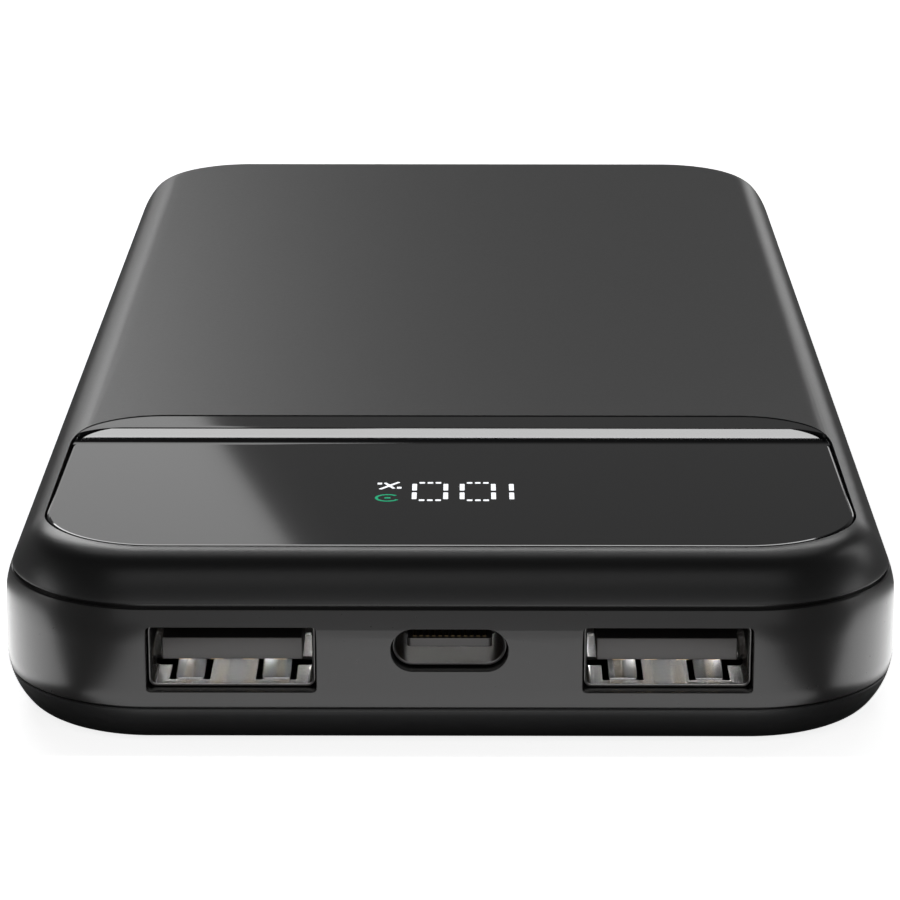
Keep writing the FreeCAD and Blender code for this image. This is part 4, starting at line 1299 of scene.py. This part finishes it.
@dataclass
class PowerKey:
    """The flush power key in the band's right-hand side."""

    form: CaseForm
    play: float = 0.15 * MM
    length: float = 10.5 * MM
    height: float = 3.4 * MM
    shoulder: float = 1.7 * MM
    flange: float = 0.8 * MM
    crown: float = 0.3 * MM
    # share of the crown's height that each of its steps rises, and how far it steps in
    crown_path: tuple[tuple[float, float], ...] = (
        (0.45, 0.09 * MM), (0.33, 0.22 * MM), (0.17, 0.34 * MM), (0.05, 0.7 * MM))
    chamfer: float = 0.08 * MM
    stem: tuple[float, float] = (3.0 * MM, 2.0 * MM)
    crease: float = 20.0
    steps: int = 14

    def _track(self, low: float, high: float, length: float, height: float) -> bmesh.types.BMesh:
        """Make a block with half-round ends that runs through the side wall.

        Args:
            low: where it begins across the case.
            high: where it ends across the case.
            length: its size along the case.
            height: its size up and down.

        Returns:
            A closed bmesh.
        """
        box_low, box_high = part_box("power_button")
        centre = (box_low + box_high) / 2
        centre.x = (low + high) / 2
        size = Vector((high - low, length, height))
        return rounded_block(centre, size, 0, height / 2, self.steps)

    def cutter(self) -> bmesh.types.BMesh:
        """Make the key's opening in the band, with a small chamfer at its mouth.

        Returns:
            A closed bmesh.
        """
        side = self.form.half_x
        shape = self._track(side - CUT_DEPTH, side - self.chamfer,
                            self.length + 2 * self.play, self.height + 2 * self.play)
        outer = end_face(shape, 0, high=True)
        mouth = push_face(shape, outer, Vector((self.chamfer, 0, 0)), self.chamfer)
        push_face(shape, mouth, Vector((SPARE, 0, 0)))
        return shape

    def build(self) -> None:
        """Build the key: crowned cap, flange and stem."""
        low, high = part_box("power_button")
        middle = (low + high) / 2
        shoulder = self.form.half_x - self.shoulder
        cap = self._track(shoulder, high.x - self.crown, self.length, self.height)
        face = end_face(cap, 0, high=True)
        for rise, inset in self.crown_path:
            face = push_face(cap, face, Vector((self.crown * rise, 0, 0)), -inset)
        inner = shoulder - self.flange
        flange = self._track(inner, shoulder, high.y - low.y, high.z - low.z)
        stem = block(Vector(((low.x + inner) / 2, middle.y, middle.z)),
                     Vector((inner - low.x, *self.stem)))
        finished_piece(join(cap, flange, stem), "key", "key_plastic", "power_button",
                       ("power_button",), self.crease)


# ------------------------------------------------------------------ studio


@dataclass(frozen=True)
class Softbox:
    """One flat studio light, unseen by the camera, turned towards the case.

    Args:
        name: name of the light.
        azimuth: bearing in degrees, 0 behind the case and 90 to its right.
        elevation: height in degrees above the table.
        width: size across.
        height: size up and down.
        radiance: brightness of its face, where 1 looks white.
        lean: how far its top is pushed sideways, as a share of its height.
        distance: distance from the aim point.
        only: names of the pieces that it lights, or none for everything.
    """

    name: str
    azimuth: float
    elevation: float
    width: float
    height: float
    radiance: float
    lean: float = 0.0
    distance: float = 1.2
    only: tuple[str, ...] = ()

    def build(self, aim: Vector, floor: bpy.types.Object) -> None:
        """Hang the light.

        Args:
            aim: the point that it faces.
            floor: the only thing that shades a light made for chosen pieces.
        """
        turn, rise = math.radians(self.azimuth), math.radians(self.elevation)
        level = math.cos(rise)
        away = Vector((math.sin(turn) * level, math.cos(turn) * level, math.sin(rise)))
        turned = away.to_track_quat("Z", "Y").to_matrix().to_4x4()
        place = Matrix.Translation(aim + away * self.distance) @ turned
        if self.only:
            self._chosen_lamp(place, floor)
        else:
            flat_panel(self.name, self.width, self.height, self.lean, place, self.radiance)

    def _chosen_lamp(self, place: Matrix, floor: bpy.types.Object) -> None:
        """Hang a lamp for the chosen pieces alone, which nothing but the floor shades.

        Args:
            place: its place and turn.
            floor: what may shade it.
        """
        lamp = bpy.data.lights.new(self.name, "AREA")
        lamp.shape, lamp.size, lamp.size_y = "RECTANGLE", self.width, self.height
        lamp.energy = self.radiance * math.pi * self.width * self.height
        lamp.cycles.use_multiple_importance_sampling = False
        holder = bpy.data.objects.new(self.name, lamp)
        bpy.context.scene.collection.objects.link(holder)
        holder.matrix_world = place
        chosen = bpy.data.collections.new(self.name + "_lights")
        for name in self.only:
            chosen.objects.link(bpy.data.objects[name])
        shading = bpy.data.collections.new(self.name + "_shades")
        shading.objects.link(floor)
        holder.light_linking.receiver_collection = chosen
        holder.light_linking.blocker_collection = shading


@dataclass(frozen=True)
class TablePanel:
    """A flat light that lies on the table beside the case, unseen by the camera.

    Args:
        name: name of the light.
        centre: its middle on the table.
        width: its size across the case.
        depth: its size along the case.
        radiance: brightness of its face.
        spared: names of the pieces that it doesn't light.
    """

    name: str
    centre: tuple[float, float]
    width: float
    depth: float
    radiance: float
    spared: tuple[str, ...] = ()

    def build(self) -> None:
        """Lay the light down, facing up."""
        place = Matrix.Translation((*self.centre, PANEL_LIFT))
        panel = flat_panel(self.name, self.width, self.depth, 0.0, place, self.radiance)
        if self.spared:
            kept_dark = bpy.data.collections.new(self.name + "_spares")
            for name in self.spared:
                kept_dark.objects.link(bpy.data.objects[name])
            for entry in kept_dark.collection_objects:
                entry.light_linking.link_state = "EXCLUDE"
            panel.light_linking.receiver_collection = kept_dark


def flat_panel(name: str, width: float, height: float, lean: float, place: Matrix,
               radiance: float) -> bpy.types.Object:
    """Make a glowing panel that the camera doesn't see.

    Args:
        name: its name.
        width: size across.
        height: size up and down.
        lean: how far its top is pushed sideways, as a share of its height.
        place: its place and turn.
        radiance: brightness of its face.

    Returns:
        The panel.
    """
    shape = bmesh.new()
    bmesh.ops.create_grid(shape, x_segments=1, y_segments=1, size=0.5)
    for vert in shape.verts:
        vert.co.x = vert.co.x * width + vert.co.y * height * lean
        vert.co.y *= height
    bmesh.ops.transform(shape, matrix=place, verts=shape.verts)
    panel = placed(shape, name)
    paint = bpy.data.materials.new(name)
    paint.use_nodes = True
    nodes, links = paint.node_tree.nodes, paint.node_tree.links
    nodes.clear()
    glow = nodes.new("ShaderNodeEmission")
    glow.inputs["Strength"].default_value = radiance
    links.new(glow.outputs["Emission"], nodes.new("ShaderNodeOutputMaterial").inputs["Surface"])
    panel.data.materials.append(paint)
    panel.visible_camera = False
    return panel


@dataclass
class Studio:
    """Floor, lights, surroundings and camera.

    The floor and the room look brighter to the camera than they do in reflections.
    """

    floor_size: float = 6.0
    floor_roughness: float = 0.9
    floor_specular: float = 0.1
    floor_tone: float = 0.92
    unseen_floor_tone: float = 0.2
    floor_glow: float = 0.82
    horizon: float = 0.155
    zenith: float = 0.025
    fade: tuple[float, float] = (0.30, 0.42)
    backdrop: float = 1.0
    sensor: float = 36.0
    lens: float = 142.05
    pitch: float = 17.058
    yaw: float = -0.2623
    camera_x: float = 1.237 * MM
    camera_back: float = 261.199 * MM
    camera_height: float = 104.885 * MM
    panels: tuple[TablePanel, ...] = (
        TablePanel("front_panel", (0.0, -0.143), 0.070, 0.134, 1.9, SHELLS),
        TablePanel("left_panel", (-0.0945, -0.055), 0.110, 0.042, 2.9),
        TablePanel("right_panel", (0.0945, -0.055), 0.110, 0.042, 2.9),
    )
    softboxes: tuple[Softbox, ...] = (
        Softbox("left_box", -15.3, 9.5, 0.25, 0.55, 0.97, -0.6),
        Softbox("left_high_box", -21.5, 29.0, 0.42, 0.28, 5.2),
        Softbox("right_rear_box", 19.0, 6.0, 0.28, 0.30, 1.4),
        Softbox("rear_strip", 0, 41, 0.9, 0.17, 5.0, distance=1.0),
        Softbox("right_box", 60, 25, 0.25, 0.5, 2.0),
        Softbox("front_fill", 180, 49, 1.3, 0.22, 1.0),
        Softbox("front_low_box", 180, 15, 1.3, 0.52, 0.75),
        Softbox("high_strip", 0, 64, 1.3, 0.25, 1.1),
        Softbox("left_strip", -90, 10, 0.5, 0.25, 2.0),
        Softbox("right_strip", 90, 10, 0.5, 0.25, 2.0),
        Softbox("socket_box", 0, 34, 0.9, 1.0, 0.19, only=("socket_left_shell", "socket_right_shell")),
        Softbox("left_socket_streak", -11, 20, 0.06, 0.4, 6.0, only=("socket_left_shell",)),
        Softbox("right_socket_streak", 11, 20, 0.06, 0.4, 6.0, only=("socket_right_shell",)),
        Softbox("oval_box", 0, 30, 0.9, 0.9, 0.25, only=("oval_shell",)),
    )

    def build(self, form: CaseForm) -> None:
        """Set up everything round the case.

        Args:
            form: the case's outline, for the aim point and the camera's place.
        """
        floor = self._floor()
        self._surroundings()
        for panel in self.panels:
            panel.build()
        for softbox in self.softboxes:
            softbox.build(Vector((0, 0, form.height / 2)), floor)
        self._camera(form)
        bpy.context.scene.view_settings.view_transform = "Standard"

    def _floor(self) -> bpy.types.Object:
        """Lay a plain pale floor that glows softly to the camera alone, like a light table.

        Returns:
            The floor.
        """
        shape = bmesh.new()
        bmesh.ops.create_grid(shape, x_segments=1, y_segments=1, size=self.floor_size / 2)
        floor = placed(shape, "floor")
        paint = bpy.data.materials.new("pale_floor")
        paint.use_nodes = True
        nodes, links = paint.node_tree.nodes, paint.node_tree.links
        shader = nodes["Principled BSDF"]
        shader.inputs["Roughness"].default_value = self.floor_roughness
        shader.inputs["Specular IOR Level"].default_value = self.floor_specular
        shader.inputs["Emission Color"].default_value = (1.0, 1.0, 1.0, 1.0)
        path = nodes.new("ShaderNodeLightPath")
        for socket, seen, unseen in (("Base Color", self.floor_tone, self.unseen_floor_tone),
                                     ("Emission Strength", self.floor_glow, 0.0)):
            pick = nodes.new("ShaderNodeMapRange")
            pick.inputs["To Min"].default_value = unseen
            pick.inputs["To Max"].default_value = seen
            links.new(path.outputs["Is Camera Ray"], pick.inputs["Value"])
            links.new(pick.outputs["Result"], shader.inputs[socket])
        floor.data.materials.append(paint)
        return floor

    def _surroundings(self) -> None:
        """Make the room: white to the camera, dim in reflections and darker overhead."""
        world = bpy.data.worlds.new("room")
        world.use_nodes = True
        bpy.context.scene.world = world
        nodes, links = world.node_tree.nodes, world.node_tree.links
        place = nodes.new("ShaderNodeTexCoord")
        split = nodes.new("ShaderNodeSeparateXYZ")
        links.new(place.outputs["Generated"], split.inputs["Vector"])
        rise = nodes.new("ShaderNodeMapRange")
        for socket, value in zip(("From Min", "From Max", "To Min", "To Max"),
                                 (*self.fade, self.horizon, self.zenith)):
            rise.inputs[socket].default_value = value
        links.new(split.outputs["Z"], rise.inputs["Value"])
        path = nodes.new("ShaderNodeLightPath")
        mix = nodes.new("ShaderNodeMixRGB")
        mix.inputs["Color2"].default_value = (self.backdrop, self.backdrop, self.backdrop, 1.0)
        links.new(rise.outputs["Result"], mix.inputs["Color1"])
        links.new(path.outputs["Is Camera Ray"], mix.inputs["Fac"])
        links.new(mix.outputs["Color"], nodes["Background"].inputs["Color"])

    def _camera(self, form: CaseForm) -> None:
        """Place the camera in front of the sockets, looking slightly down.

        Args:
            form: gives the place of the sockets' face.
        """
        data = bpy.data.cameras.new("camera")
        data.lens, data.sensor_width = self.lens, self.sensor
        data.clip_start, data.clip_end = 0.01, 20.0
        camera = bpy.data.objects.new("camera", data)
        bpy.context.scene.collection.objects.link(camera)
        camera.location = (self.camera_x, -form.half_y - self.camera_back, self.camera_height)
        tilt, turn = math.radians(90 - self.pitch), math.radians(-self.yaw)
        camera.rotation_euler = (tilt, 0.0, turn)
        bpy.context.scene.camera = camera


def dress_cad_nodes(frame: dict) -> None:
    """Give each CAD node that is still shown the finish of its slot.
    """
    slots = {part["node"]: part["material_slot"] for part in frame["record"]["subparts"]}
    for name, node in frame["nodes"].items():
        dress(node, slots[name], CAD_CREASE)


def main() -> None:
    """Build the power bank's looks and its studio."""
    logging.basicConfig(level=logging.INFO, format="%(name)s %(message)s")
    dress_cad_nodes(frame)
    form = CaseForm()
    window = Window(form)
    ports = Ports(form)
    key = PowerKey(form)
    Shells(form).build(window, ports, key)
    window.build()
    Display(window).build()
    ports.build()
    key.build()
    Studio().build(form)


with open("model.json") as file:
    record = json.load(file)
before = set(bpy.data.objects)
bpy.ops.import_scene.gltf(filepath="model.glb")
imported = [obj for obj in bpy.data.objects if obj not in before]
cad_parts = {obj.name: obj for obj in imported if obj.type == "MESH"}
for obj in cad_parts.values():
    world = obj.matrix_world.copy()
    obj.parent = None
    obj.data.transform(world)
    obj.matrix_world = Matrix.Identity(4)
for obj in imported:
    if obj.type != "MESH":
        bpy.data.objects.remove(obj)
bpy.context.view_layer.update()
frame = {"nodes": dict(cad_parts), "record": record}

if __name__ == "__main__":
    main()
